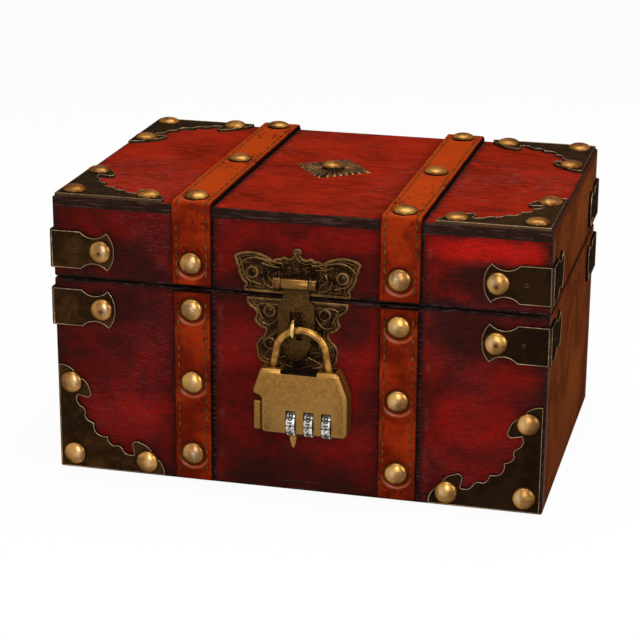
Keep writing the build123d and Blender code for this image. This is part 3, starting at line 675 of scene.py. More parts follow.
@dataclass(frozen=True)
class StrapLeather:
    """Orange-red strap leather with dark edges, nicks and needle holes."""

    name: str = "strap_leather"
    bright: str = "8c2a0e"
    middle: str = "74200a"
    dark: str = "5a1508"
    edge: str = "170c09"
    faded: str = "a23a10"
    nick: str = "3a140a"
    # Colour of the painted shade in the dents round the nails and in the stitch grooves.
    dent: str = "4a150a"
    # Colour of the painted highlight on the raised edge below each nail.
    lip: str = "cf6c38"

    def make(self, effects: Effects) -> Material:
        """Builds the material: edge, dent and shine values come from the strap's mesh, dent for painted shade and
        shine for a painted highlight.

        Args:
            effects: the shared node groups.

        Returns:
            The finished material.
        """
        finish = Finish(self.name, effects)
        tree = finish.tree
        hide = finish.use(hide_grain)
        edge, shine = finish.attribute("edge"), finish.attribute("shine")
        colour = tree.ramp(hide["clouds"], (0.05, self.dark), (0.5, self.middle), (0.95, self.bright))
        for mask, code in ((tree.times(hide["creases"], 0.22), self.dark),
                           # Faces turned up are painted a brighter orange: painted light on the top.
                           (tree.step(tree.xyz(finish.normal)[2], 0.5, 0.95, 0.0, 0.75), self.faded),
                           (tree.times(hide["nicks"], 0.8), self.nick),
                           # Painted shade in the dents and stitch grooves; the dark edges are the leather's own.
                           (tree.times(finish.attribute("dent"), 0.75), self.dent), (edge, self.edge),
                           # Painted highlight on the raised edge below each nail.
                           (tree.times(shine, 0.45), self.lip)):
            colour = tree.mix(mask, colour, code)
        rough = tree.blend(edge, tree.blend(hide["creases"], 0.36, 0.5), 0.65)
        return finish.set(Base_Color=colour, Roughness=rough, Normal=tree.bump(hide["height"], 0.14 * MM, 0.6),
                          Specular_IOR_Level=0.0, Coat_Weight=tree.times(shine, 0.5), Coat_Roughness=0.25)


@dataclass(frozen=True)
class Plain:
    """A finish with little pattern: thread, ink, shade painted into holes and recesses, or dark metal."""

    name: str
    light: str
    dark: str
    roughness: float
    metallic: float = 0.0
    scale: float = 300.0
    gloss: float = 0.5
    depth: float = 0.05 * MM

    def make(self, effects: Effects) -> Material:
        """Builds the material from two colours mixed by small clouds.

        Args:
            effects: the shared node groups.

        Returns:
            The finished material.
        """
        finish = Finish(self.name, effects)
        tree = finish.tree
        wear = finish.use(metal_wear, scale=self.scale)
        amount = tree.blend(0.5, wear["clouds"], finish.attribute("rub"))
        return finish.set(Base_Color=tree.mix(amount, self.dark, self.light), Roughness=self.roughness,
                          Metallic=self.metallic, Normal=tree.bump(wear["height"], self.depth, 0.6),
                          Specular_IOR_Level=self.gloss)


FINISHES = (
    StrapLeather(),
    Plain("strap_thread", "6b5630", "160d06", 0.85, 0.0, 500.0, 0.0),
    Plain("figure_ink", "16130f", "0a0806", 0.6),
    Plain("notch_steel", "8a857c", "3a352e", 0.36, 0.85, 900.0),
    # A dark finish painted into pin holes and the padlock's notch as shade.
    Plain("soot", "241a11", "120c08", 0.7, 0.2, 400.0, 0.0),
    OldMetal("nail_brass", "b98a49", "9b6e37", "684320", "f7dfb6", (0.28, 0.46), 0.92, 110.0, 0.03, 0.3, 0.9, 0.8,
             "3a1f0c", edge="9a7442", scratched=0.08),
    OldMetal("antique_bronze", "422a14", "33200f", "22150a", "c2a684", (0.42, 0.58), 0.8, 60.0, 0.03, 0.2, 0.95, 0.8,
             gloss=0.0, edge="5a4028", scratched=0.05),
    OldMetal("latch_bronze", "64452a", "472e18", "1e1209", "ae8550", (0.34, 0.6), 0.75, 200.0, 0.30, 0.6, 0.75,
             stipple=1250.0, gloss=0.1, edge="8a6844", smooth_rims=True),
    OldMetal("hasp_bronze", "4a311a", "36210f", "170e07", "78582e", (0.36, 0.56), 0.78, 240.0, 0.20, 0.85, 0.6,
             stipple=1700.0, gloss=0.1, edge="8a6844"),
    OldMetal("barrel_brass", "6c4920", "583816", "36230d", "9a733b", (0.28, 0.44), 0.92, 160.0, 0.04, 0.3, 0.6, 0.7),
    OldMetal("shackle_brass", "b08340", "966a30", "6e4c20", "c49a54", (0.32, 0.46), 0.9, 200.0, 0.03, 0.2, 0.4, 0.7),
    OldMetal("staple_wire", "c9a86c", "a98450", "7c5a2c", "efe0c0", (0.16, 0.28), 0.95, 200.0, 0.02, 0.2, 0.6),
    OldMetal("lock_brass", "a07436", "8d632d", "764f23", "c69852", (0.36, 0.5), 0.88, 800.0, 0.05, 0.35, 0.6, 0.5),
    OldMetal("dial_metal", "c9c6c0", "b4b1aa", "615e57", "f4f2ec", (0.34, 0.5), 0.7, 200.0, 0.03, 0.25, 0.6,
             soot="1c1915"),
    OldMetal("dark_steel", "3c2a1a", "2a1d12", "150e08", "6a5236", (0.4, 0.6), 0.88, 300.0, 0.04, 0.3, 0.5,
             gloss=0.0, edge="5a4028"),
)


class Piece:
    """A mesh under way that becomes one object of the scene."""

    def __init__(self, name: str, node: str = "") -> None:
        """Starts the mesh, with the two values that the metals read: one for rubbed wear and painted highlights, one
        for dirt and painted shade.

        Args:
            name: the object's name.
            node: whose mesh is copied, merged and with its flat faces made whole.
        """
        self.name = name
        self.bm = bmesh.new()
        if node:
            self.bm.from_mesh(bpy.data.objects[node].data)
            bmesh.ops.remove_doubles(self.bm, verts=self.bm.verts, dist=0.002 * MM)
            bmesh.ops.dissolve_limit(self.bm, angle_limit=math.radians(0.6), verts=self.bm.verts,
                                     edges=self.bm.edges, delimit=set())
        self.rub, self.grime = self.layer("rub"), self.layer("grime")

    def layer(self, name: str) -> bmesh.types.BMLayerItem:
        """Gives the mesh's value layer of a name, new if it isn't there."""
        layers = self.bm.verts.layers.float
        return layers.get(name) or layers.new(name)

    def joined(self, start: Sequence[Vert]) -> list[Vert]:
        """Some points and all that edges join to them, in an order that is the same each time.

        Args:
            start: the points to start from.

        Returns:
            All the points.
        """
        found, waiting = dict.fromkeys(start), list(start)
        while waiting:
            for edge in waiting.pop().link_edges:
                for vert in edge.verts:
                    if vert not in found:
                        found[vert] = None
                        waiting.append(vert)
        return list(found)

    def islands(self) -> list[list[Vert]]:
        """Groups the mesh's points by the separate solids that they belong to.

        Returns:
            The points of each solid.
        """
        waiting = dict.fromkeys(self.bm.verts)
        groups = []
        while waiting:
            groups.append(self.joined([next(iter(waiting))]))
            for vert in groups[-1]:
                del waiting[vert]
        return groups

    def spun(self, profile: Sequence[tuple[float, float]], steps: int, place: Matrix,
             share: Optional[Callable[[Vector], None]] = None) -> list[Vert]:
        """Spins a half section round z and moves it to its place.

        Args:
            profile: radius and height of each corner, from the axis back to the axis.
            steps: how many faces round.
            place: where the spun shape goes.
            share: changes a point of the shape before it is moved.

        Returns:
            The points of the new shape.
        """
        made = [self.bm.verts.new((radius, 0.0, height)) for radius, height in profile]
        line = [self.bm.edges.new(pair) for pair in zip(made, made[1:])]
        turned = bmesh.ops.spin(self.bm, geom=made + line, cent=(0, 0, 0), axis=(0, 0, 1), dvec=(0, 0, 0),
                                angle=math.tau, steps=steps, use_merge=True, use_duplicate=False)
        found = self.joined([v for v in made + turned["geom_last"] if isinstance(v, Vert) and v.is_valid])
        bmesh.ops.remove_doubles(self.bm, verts=found, dist=0.001 * MM)
        found = [v for v in found if v.is_valid]
        faces = dict.fromkeys(face for vert in found for face in vert.link_faces)
        bmesh.ops.recalc_face_normals(self.bm, faces=list(faces))
        if share is not None:
            for vert in found:
                share(vert.co)
        bmesh.ops.transform(self.bm, matrix=place, verts=found)
        return found

    def take(self, data: bpy.types.Curve) -> list[Vert]:
        """Adds the mesh of a curve or a text, which is then thrown away, and gives the new points.

        Args:
            data: the curve or the text.

        Returns:
            The points that it adds.
        """
        holder = link(data.name, data)
        mesh = bpy.data.meshes.new_from_object(holder.evaluated_get(bpy.context.evaluated_depsgraph_get()))
        old = set(self.bm.verts)
        self.bm.from_mesh(mesh)
        bpy.data.objects.remove(holder)
        bpy.data.curves.remove(data)
        bpy.data.meshes.remove(mesh)
        return [vert for vert in self.bm.verts if vert not in old]

    def bead(self, points: Sequence[Vector], radius: float, closed: bool = False, rub: float = 1.0) -> list[Vert]:
        """Lays a round bead along a line.

        Args:
            points: the line, smooth through its bends, or straight between its points where it is closed.
            radius: the bead's radius.
            closed: whether the line closes on itself.
            rub: how bright the bead is rubbed.

        Returns:
            The bead's points.
        """
        curve = bpy.data.curves.new("bead", "CURVE")
        curve.dimensions = "3D"
        curve.bevel_depth = radius
        curve.bevel_resolution = 1
        curve.use_fill_caps = True
        curve.resolution_u = 5
        line = curve.splines.new("POLY" if closed else "NURBS")
        line.points.add(len(points) - 1)
        for point, place in zip(line.points, points):
            point.co = (*place, 1.0)
        if not closed:
            line.order_u = 3
            line.use_endpoint_u = True
        line.use_cyclic_u = closed
        made = self.take(curve)
        layer = self.layer("rub")
        for vert in made:
            vert[layer] = rub
        return made

    def recolour(self, verts: Sequence[Vert]) -> None:
        """Gives the faces at some points the piece's second finish.

        Args:
            verts: the points.
        """
        for vert in verts:
            for face in vert.link_faces:
                face.material_index = 1

    def keen(self, sharp: float) -> list[bmesh.types.BMEdge]:
        """The edges that stand out and are sharper than so many degrees."""
        return [edge for edge in self.bm.edges if edge.is_manifold and edge.is_convex
                and edge.calc_face_angle(0.0) > math.radians(sharp)]

    def round_off(self, edges: Sequence[bmesh.types.BMEdge], width: float) -> None:
        """Rounds edges to a width."""
        bmesh.ops.bevel(self.bm, geom=edges, offset=width, offset_type="OFFSET", segments=2, profile=0.5,
                        affect="EDGES", clamp_overlap=True, material=-1)

    def outward(self) -> None:
        """Turns every face outwards."""
        bmesh.ops.recalc_face_normals(self.bm, faces=self.bm.faces)

    def done(self, body: Body, materials: Sequence[Material], replaces: Sequence[str] = (),
             crease: float = 38.0) -> None:
        """Turns the mesh into an object that rides on its body.

        Args:
            body: what it moves with.
            materials: its materials, in the order of the faces' numbers.
            replaces: nodes that it stands for.
            crease: edges sharper than this many degrees stay sharp.
        """
        mesh = bpy.data.meshes.new(self.name)
        self.bm.to_mesh(mesh)
        self.bm.free()
        mesh.polygons.foreach_set("use_smooth", [True] * len(mesh.polygons))
        mesh.set_sharp_from_angle(angle=math.radians(crease))
        for material in materials:
            mesh.materials.append(material)
        made = link(self.name, mesh)
        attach(made, body.value)
        if replaces:
            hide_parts(*replaces)
        LOG.info("%s: %d faces on %s", self.name, len(mesh.polygons), body.value)


@dataclass(frozen=True)
class NailSeat:
    """Where one dome nail sits."""

    side: Side
    middle: Vector


@dataclass
class DomeNails:
    """The dome nails of the base and the lid, each a little different."""

    radius: float = 5.25 * MM
    height: float = 3.4 * MM
    rim: float = 0.35 * MM
    rings: int = 12
    steps: int = 32
    tilt: float = math.radians(3.5)
    top_share: float = 0.74
    pit_width: float = 1.3 * MM
    pit_depths: tuple[float, ...] = (0.0, 0.04 * MM, 0.1 * MM)
    punched_depth: float = 0.32 * MM
    seats: dict[str, list[NailSeat]] = field(default_factory=dict)

    def find(self, node: str) -> None:
        """Reads where the dome nails of a node sit from their separate solids.

        Args:
            node: the node that holds the nails.
        """
        reader = Piece(node, node)
        seats = []
        for island in reader.islands():
            for side in Side:
                top = max(v.co.dot(side.out) for v in island)
                if top > side.wall + 0.5 * MM:
                    middle = side.out * (top - self.height)
                    for axis in (side.right, side.up):
                        reach = [v.co.dot(axis) for v in island]
                        middle += axis * (min(reach) + max(reach)) / 2
                    seats.append(NailSeat(side, middle))
        reader.bm.free()
        self.seats[node] = sorted(seats, key=lambda seat: (seat.side.name, round(seat.middle.z, 4),
                                                           round(seat.middle.x, 4), round(seat.middle.y, 4)))

    def profile(self) -> list[tuple[float, float]]:
        """The dome's half section, from its flat underside over the rim to its top.

        Returns:
            Radius and height of each corner.
        """
        line = [(0.0, 0.0), (self.radius * 0.95, 0.0), (self.radius, self.rim * 0.5)]
        for ring in range(1, self.rings + 1):
            angle = math.pi / 2 * ring / self.rings
            rise = self.rim + (self.height - self.rim) * math.sin(angle)
            line.append((self.radius * math.cos(angle) ** 0.94 if ring < self.rings else 0.0, rise))
        return line

    def build(self, node: str, metal: Material) -> None:
        """Makes the nails of one node.

        Args:
            node: the node that they replace.
            metal: their finish.
        """
        chance = random.Random(node)
        piece = Piece(f"{node}_domes")
        for seat in self.seats[node]:
            side, on_top = seat.side, seat.side is Side.TOP
            turn = Matrix.Rotation(chance.uniform(0, math.tau), 4, "Z")
            lean = Matrix.Rotation(chance.uniform(-self.tilt, self.tilt), 4, "X")
            angle, reach = chance.uniform(0, math.tau), chance.uniform(0.1, 1.0) * MM
            pit = Vector((math.cos(angle), math.sin(angle))) * reach
            punched = abs(seat.middle.x) > 80 * MM and 70 * MM < seat.middle.z < 112 * MM
            depth = self.punched_depth if punched else chance.choice(self.pit_depths)
            place = side.frame(seat.middle) @ lean @ turn
            # Which side of the nail faces the lamp, from the nail's place: its painted highlight and painted shade
            # follow it.
            toward_lamp = max(-1.0, min(1.0, -seat.middle.dot(side.right) / (100 * MM)))
            back = place.inverted()
            for vert in piece.spun(self.profile(), self.steps, place):
                local = back @ vert.co
                near = peak((local.xy - pit).length, 0.0, self.pit_width) if local.z > self.rim else 0.0
                local.z -= depth * near
                if on_top:
                    local.z *= self.top_share
                vert.co = place @ local
                low = max(0.0, 1.0 - local.z / (1.5 * MM))
                away = (vert.co - seat.middle) / self.radius
                across, rise = away.dot(side.right), away.dot(side.up)
                # Painted shade on the nail's lower side away from the lamp; the top nails get an even darkening and a
                # little of it. The foot and the punched pit are darkened too.
                under = max(0.0, 0.14 - 0.7 * rise - 0.7 * toward_lamp * across)
                under = 0.18 + 0.25 * under if on_top else 0.95 * under ** 1.2
                vert[piece.grime] = min(1.0, 0.75 * low ** 1.6 + near * (2.9 * depth / MM) + under)
                # Painted highlight: a bright patch on the side towards the lamp.
                polish = peak(across, 0.4 * toward_lamp, 0.22) * peak(rise, 0.16, 0.38)
                crown = clamp((local.z - 1.6 * MM) / (1.4 * MM))
                vert[piece.rub] = crown * 0.3 if on_top else min(1.0, 0.1 * crown + 0.95 * polish)
        piece.done(Body.of(node), [metal], [node])


@dataclass(frozen=True)
class StrapPath:
    """The line over the wood that a strap's underside follows, in y and z."""

    corners: tuple[tuple[float, float], ...]
    turn: float
    thickness: float

    @property
    def arc(self) -> float:
        """The strap's length along its outside in one turn."""
        return (self.turn + self.thickness) * math.pi / 2

    def runs(self) -> list[tuple[Vector, Vector, float]]:
        """Start, direction and length of each straight run between the turns.

        Returns:
            The runs, from the line's start to its end.
        """
        found = []
        for at, (first, second) in enumerate(zip(self.corners, self.corners[1:])):
            start, end = Vector(first), Vector(second)
            way = (end - start).normalized()
            if at > 0:
                start = start + way * self.turn
            if at < len(self.corners) - 2:
                end = end - way * self.turn
            found.append((start, way, (end - start).length))
        return found

    def length(self) -> float:
        """The strap's length along its outside."""
        return sum(run[2] for run in self.runs()) + self.arc * (len(self.corners) - 2)

    def at(self, along: float, out: float) -> Vector:
        """A point over the line, as y and z.

        Args:
            along: how far along the strap's outside.
            out: how far above the wood.

        Returns:
            The point.
        """
        runs = self.runs()
        left = along
        for at, (start, way, length) in enumerate(runs):
            away = Vector((-way.y, way.x))
            if left <= length or at == len(runs) - 1:
                return start + way * left + away * out
            left -= length
            if left <= self.arc:
                share = left / self.arc * math.pi / 2
                turned = away * math.cos(share) + way * math.sin(share)
                return start + way * length - away * self.turn + turned * (self.turn + out)
            left -= self.arc
        raise ValueError("no run holds this length")


@dataclass
class Strap:
    """One leather strap, with its stitching and the dents round its nails."""

    node: str
    nails: DomeNails
    thickness: float = 2.5 * MM
    turn: float = 1.0 * MM
    row: float = 0.6 * MM
    columns: int = 34
    edge_round: float = 1.0 * MM
    wobble: float = 0.22 * MM
    groove: float = 0.22 * MM
    stitch_from_edge: float = 2.3 * MM
    stitch_pitch: float = 4.0 * MM
    stitch_length: float = 3.2 * MM
    stitch_width: float = 0.75 * MM
    stitch_rise: float = 0.14 * MM
    stitch_dip: float = 0.34 * MM
    nail_room: float = 6.2 * MM
    dark_edge: float = 0.7 * MM
    dent: float = 0.6 * MM
    dent_reach: float = 12 * MM
    dent_wall: tuple[float, float] = (7.3 * MM, 1.2 * MM)
    dent_shadow: tuple[float, float] = (5.5 * MM, 0.6 * MM)
    lip: tuple[float, float] = (7.0 * MM, 0.42 * MM)
    bulge: tuple[float, float] = (7.9 * MM, 0.9 * MM)
    bulge_height: float = 0.24 * MM
    seed: int = 11

    def __post_init__(self) -> None:
        """Measures the strap on its node and finds the nails that go through it."""
        low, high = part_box(self.node)
        self.body = Body.of(self.node)
        self.middle, self.width = (low.x + high.x) / 2, high.x - low.x
        self.path = StrapPath(self.corners(low, high), self.turn, self.thickness)
        self.length = self.path.length()
        self.marks = self.nail_marks()
        self.shift = random.Random(f"{self.node}{self.seed}").uniform(0, 50)

    def corners(self, low: Vector, high: Vector) -> tuple[tuple[float, float], ...]:
        """The ends and bends of the line that the strap's underside follows, as y and z.

        Args:
            low: the low corner of the strap's node.
            high: its high corner.

        Returns:
            The line's corners.
        """
        if self.body is Body.LID:
            top = high.z - self.thickness
            front, back = low.y + self.thickness, high.y - self.thickness
            return (front, low.z), (front, top), (back, top), (back, low.z)
        if "front" in self.node:
            return (high.y, low.z), (high.y, high.z)
        return (low.y, high.z), (low.y, low.z)

    def nail_marks(self) -> list[tuple[float, float]]:
        """Where nails go through the strap: along it and across it.

        Returns:
            Both places of each nail.
        """
        marks = []
        samples = [self.length * at / 600 for at in range(601)]
        for seat in self.nails.seats["lid_nails" if self.body is Body.LID else "base_nails"]:
            if abs(seat.middle.x - self.middle) > self.width / 2 or seat.side in (Side.LEFT, Side.RIGHT):
                continue
            gap, along = min(((self.path.at(along, self.thickness) - seat.middle.yz).length, along)
                             for along in samples)
            if gap < 3 * MM:
                marks.append((along, seat.middle.x - self.middle))
        return marks

    def place(self, across: float, along: float, out: float) -> Vector:
        """A point by its places across and along the strap and its height over the wood."""
        point = self.path.at(along, out)
        return Vector((self.middle + across, point.x, point.y))

    def build(self, leather: Material, thread: Material) -> None:
        """Makes the strap and its stitching.

        Args:
            leather: the strap's finish.
            thread: the stitches' finish.
        """
        piece = Piece(f"{self.node}_leather")
        edge, dent, shine = (piece.layer(name) for name in ("edge", "dent", "shine"))
        rows = max(8, round(self.length / self.row))
        bmesh.ops.create_grid(piece.bm, x_segments=self.columns, y_segments=rows, size=0.5)
        lifted = bmesh.ops.extrude_face_region(piece.bm, geom=list(piece.bm.faces))
        upper = {item for item in lifted["geom"] if isinstance(item, Vert)}
        for vert in piece.bm.verts:
            outer = 1 - (1 - min(1.0, abs(vert.co.x) * 2)) ** 1.6
            along = (vert.co.y + 0.5) * self.length
            across = math.copysign(outer * self.width / 2, vert.co.x)
            wave = noise.noise(Vector((along * 90 + self.shift, across * 3, 0.0)))
            from_edge = self.width / 2 - abs(across)
            across += wave * self.wobble * outer
            out = 0.02 * MM
            vert[edge] = 1.0
            if vert in upper:
                out, vert[dent], vert[shine] = self.surface(along, across, from_edge)
                end = min(along, self.length - along)
                vert[edge] = max(0.0, 1.0 - min(from_edge, end) / self.dark_edge) ** 0.7
            vert.co = self.place(across, along, out)
        piece.outward()
        piece.done(self.body, [leather], [self.node], 50.0)
        self.stitching(thread)

    def surface(self, along: float, across: float, from_edge: float) -> tuple[float, float, float]:
        """How high the leather stands at a point, with the painted shade of its dents and stitch grooves and a painted
        highlight below each nail.

        Args:
            along: how far along the strap.
            across: how far from its middle line.
            from_edge: how far from its nearest long edge.

        Returns:
            The height above the wood, the share of painted shade and the share of painted highlight.
        """
        height = self.thickness
        for gap in (from_edge, min(along, self.length - along)):
            if gap < self.edge_round:
                height -= self.edge_round - math.sqrt(max(0.0, self.edge_round ** 2 - (self.edge_round - gap) ** 2))
        sewn = peak(from_edge, self.stitch_from_edge, 0.5 * MM)
        height -= self.groove * sewn
        # Painted shade in the stitch grooves; below, the dents round the nails add painted shade and a painted
        # highlight.
        dark, lip = 0.7 * sewn, 0.0
        for mark_along, mark_across in self.marks:
            offset = Vector((across - mark_across, along - mark_along))
            reach = offset.length
            if reach > self.dent_reach:
                continue
            below = clamp((-offset.y / max(reach, MM) - 0.3) / 0.45)
            wall = clamp((self.dent_wall[0] - reach) / self.dent_wall[1])
            wall = wall * wall * (3 - 2 * wall)
            height -= self.dent * wall * (0.25 + 0.75 * below)
            height += self.bulge_height * below * peak(reach, *self.bulge)
            dark = max(dark, 0.85 * peak(reach, *self.dent_shadow))
            lip = max(lip, below * peak(reach, *self.lip))
        slow = noise.noise(Vector((along * 55 + self.shift, across * 120, 3.0)))
        fine = noise.noise(Vector((along * 260 + self.shift, across * 300, 9.0)))
        return height + (0.16 * slow + 0.05 * fine) * MM, dark, lip

    def stitching(self, thread: Material) -> None:
        """Sews the strap's two rows of stitches, bent over its turns.

        Args:
            thread: the stitches' finish.
        """
        piece = Piece(f"{self.node}_stitches")
        chance = random.Random(f"{self.node}thread")
        count = int((self.length - 5 * MM) / self.stitch_pitch)
        start = (self.length - count * self.stitch_pitch) / 2
        for side in (-1, 1):
            across = side * (self.width / 2 - self.stitch_from_edge)
            for number in range(count):
                centre = start + (number + 0.5) * self.stitch_pitch
                if any(math.hypot(centre - at, across - off) < self.nail_room for at, off in self.marks):
                    continue
                made = bmesh.ops.create_uvsphere(piece.bm, u_segments=7, v_segments=5, radius=0.5)["verts"]
                reach = self.stitch_length * chance.uniform(0.9, 1.08)
                skew, fade = chance.uniform(-0.10, 0.10), chance.uniform(0.0, 1.0)
                out = self.surface(centre, across, self.stitch_from_edge)[0]
                for vert in made:
                    x, y, z = vert.co
                    dip = self.stitch_dip * (2 * abs(z)) ** 2
                    vert.co = self.place(across + x * self.stitch_width + z * reach * skew, centre + z * reach,
                                         out + self.stitch_rise - dip + y * self.stitch_width * 0.75)
                    vert[piece.rub] = fade
        piece.outward()
        piece.done(self.body, [thread], (), 80.0)


def perimeter(outline: Sequence[Vector]) -> float:
    """How long a closed outline is."""
    return sum((a - b).length for a, b in zip(outline, [*outline[1:], outline[0]]))


def loops(faces: Sequence[Face]) -> list[list[Vector]]:
    """The closed outlines of some faces.

    Args:
        faces: the faces, in a fixed order.

    Returns:
        The points of each outline, in order.
    """
    inside = set(faces)
    border: dict[Vert, list[Vert]] = {}
    for face in faces:
        for loop in face.loops:
            if not any(other in inside for other in loop.edge.link_faces if other is not face):
                border.setdefault(loop.vert, []).append(loop.link_loop_next.vert)
    found = []
    while border:
        walk, here = [], next(iter(border))
        while here in border:
            walk.append(here.co.copy())
            onward = border[here].pop()
            if not border[here]:
                del border[here]
            here = onward
        found.append(walk)
    return found


def drawn_in(outline: Sequence[Vector], out: Vector, amount: float, spacing: float = 0.225 * MM) -> list[Vector]:
    """Moves a closed outline inwards on its own face and evens out its points.

    Args:
        outline: the outline's points, anticlockwise as seen from outside.
        out: the way out of the face.
        amount: how far inwards.
        spacing: how far apart the points are at least.

    Returns:
        The moved points.
    """
    kept: list[Vector] = []
    for at, here in enumerate(outline):
        before = (here - outline[at - 1]).normalized()
        after = (outline[(at + 1) % len(outline)] - here).normalized()
        inward = out.cross(before) + out.cross(after)
        if inward.length < 0.2:
            inward = before - after
        inward.normalize()
        point = here + inward * amount / max(0.55, inward.dot(out.cross(after)))
        if not kept or (point - kept[-1]).length > spacing:
            kept.append(point)
    return kept


@dataclass
class PressedMetal:
    """Brackets and corner plates pressed from sheet: a thin raised rim line round a plain field."""

    rim: float = 0.22 * MM
    inset: float = 0.30 * MM
    sheet: float = 0.9 * MM
    short_loop: float = 8 * MM
    hole_rim: float = 0.16 * MM
    hole_outset: float = 0.1 * MM
    hole_loop: tuple[float, float] = (4.4 * MM, 5.4 * MM)
    pit_radius: float = 0.76 * MM
    pit_depth: float = 0.55 * MM

    def build(self, node: str, metal: Material, soot: Material) -> None:
        """Draws the rim line on a copy of one plate.

        Args:
            node: the plate's node.
            metal: its finish.
            soot: what shows in its pin holes.
        """
        piece = Piece(f"{node}_pressed", node)
        bracket = "bracket" in node
        for vert in piece.bm.verts:
            # Plates on the right half are painted darker: painted shade.
            vert[piece.grime] = 0.7 if vert.co.x > 0 else 0.12
            beyond = min(abs(vert.co.x) - 110 * MM, abs(vert.co.y) - 75 * MM)
            vert[piece.rub] = 0.35 if bracket and 0.45 * MM < beyond < 1.1 * MM else 0.0
            # The lid's corner plates are made lighter all over and not darkened: a painted reflection.
            if node.startswith("lid_corner"):
                vert[piece.rub], vert[piece.grime] = 0.14, 0.0
        lines = []
        for side in Side:
            faces = [face for face in piece.bm.faces if face.normal.dot(side.out) > 0.99
                     and face.calc_center_median().dot(side.out) > side.wall + self.sheet]
            for outline in loops(faces):
                around = perimeter(outline)
                if around > self.short_loop:
                    lines.append((drawn_in(outline, side.out, self.inset), self.rim, 1.0))
                elif bracket and self.hole_loop[0] < around < self.hole_loop[1]:
                    lines.append((drawn_in(outline, side.out, -self.hole_outset), self.hole_rim, 0.25))
                    centre = sum(outline, Vector()) / len(outline)
                    self.pit(piece, side.frame(centre - side.out * self.pit_depth))
        for points, radius, bright in lines:
            piece.bead(points, radius, closed=True, rub=bright)
        # The second finish darkens the pin holes: painted shade.
        piece.done(Body.of(node), [metal, soot], [node], 32.0)

    def pit(self, piece: Piece, place: Matrix) -> None:
        """Puts a small dark disc at the bottom of a pin hole: painted shade."""
        piece.recolour(bmesh.ops.create_cone(piece.bm, cap_ends=True, segments=16, radius1=self.pit_radius,
                                             radius2=self.pit_radius, depth=0.5 * MM, matrix=place)["verts"])


@dataclass
class Sunburst:
    """The fluted ornament in the middle of the lid, with a domed boss."""

    node: str = "lid_ornament"
    flutes: int = 28
    points_per_flute: int = 8
    rings: int = 14
    boss: float = 5.0 * MM
    boss_rim: float = 0.3 * MM
    boss_rings: int = 9
    flute_depth: float = 0.55 * MM
    edge_height: float = 0.7 * MM
    boss_foot: float = 1.6 * MM
    shoulder: float = 2.0 * MM

    def build(self, metal: Material, boss_metal: Material) -> None:
        """Makes the ornament in the place of its node.

        Args:
            metal: the finish of the rays.
            boss_metal: the finish of the boss.
        """
        low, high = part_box(self.node)
        middle = (low + high) / 2
        reader = Piece(self.node, self.node)
        tip = max((v.co - middle for v in reader.bm.verts if v.co.z < low.z + 0.3 * MM), key=lambda way: way.xy.length)
        reader.bm.free()
        foot = Vector((middle.x, middle.y, low.z))
        place = Matrix.Translation(foot) @ Matrix.Rotation(math.atan2(tip.y, tip.x), 4, "Z")
        self.rays(metal, place, tip.xy.length, high.z - low.z - self.shoulder)
        self.dome(boss_metal, foot + Vector((0, 0, self.boss_foot)), high.z - low.z - self.boss_foot)

    def rays(self, metal: Material, place: Matrix, reach: float, rise: float) -> None:
        """Makes the fluted rays.

        Args:
            metal: their finish.
            place: where they go.
            reach: how far the longest ray reaches from the middle.
            rise: how much higher they are at the boss than at the edge.
        """
        piece = Piece("lid_ornament_rays")
        around = self.flutes * self.points_per_flute
        rows = [bmesh.ops.create_circle(piece.bm, cap_ends=False, segments=around, radius=1.0)["verts"]]
        edges = list(piece.bm.edges)
        for _ in range(self.rings):
            out = bmesh.ops.extrude_edge_only(piece.bm, edges=edges)["geom"]
            rows.append([item for item in out if isinstance(item, Vert)])
            edges = [item for item in out if isinstance(item, bmesh.types.BMEdge)
                     and item.verts[0] in rows[-1] and item.verts[1] in rows[-1]]
        for number, row in enumerate(rows):
            share = 1 - number / self.rings
            depth = self.flute_depth * (0.35 + 0.65 * math.sin(math.pi * min(1.0, share * 1.15)) ** 0.7)
            for vert in row:
                angle = math.atan2(vert.co.y, vert.co.x)
                wave = math.cos(self.flutes * angle)
                edge = reach / (abs(math.cos(angle)) + abs(math.sin(angle))) ** 0.93
                edge *= 1.0 + 0.035 * wave * share ** 3
                crest = depth * 0.5 * (abs(wave) ** 0.7 * math.copysign(1, wave) + 1)
                along, height = self.boss * 0.6, self.edge_height + rise * (1 - share) ** 0.75 + crest
                along += (edge - along) * share
                if number == 0:
                    along, height = edge, 0.0
                vert.co = Vector((along * math.cos(angle), along * math.sin(angle), height))
                vert[piece.rub] = max(0.0, wave) * 0.85
                vert[piece.grime] = max(0.0, -wave) * 0.5
        bmesh.ops.contextual_create(piece.bm, geom=edges)
        bmesh.ops.transform(piece.bm, matrix=place, verts=piece.bm.verts)
        piece.outward()
        piece.done(Body.LID, [metal], [self.node], 60.0)

    def dome(self, metal: Material, foot: Vector, rise: float) -> None:
        """Makes the boss.

        Args:
            metal: its finish.
            foot: the middle of its underside.
            rise: how high it is.
        """
        knob = Piece("lid_ornament_boss")
        line = [(0.0, 0.0), (self.boss, 0.0), (self.boss * 1.02, self.boss_rim)]
        for at in range(1, self.boss_rings + 1):
            angle = math.pi / 2 * at / self.boss_rings
            line.append((self.boss * math.cos(angle) if at < self.boss_rings else 0.0,
                         self.boss_rim + (rise - self.boss_rim) * math.sin(angle)))
        for vert in knob.spun(line, 32, Matrix.Translation(foot)):
            height = vert.co.z - foot.z
            vert[knob.rub] = min(1.0, height / rise)
            vert[knob.grime] = max(0.0, 0.8 - height / (1.2 * MM))
        knob.done(Body.LID, [metal])


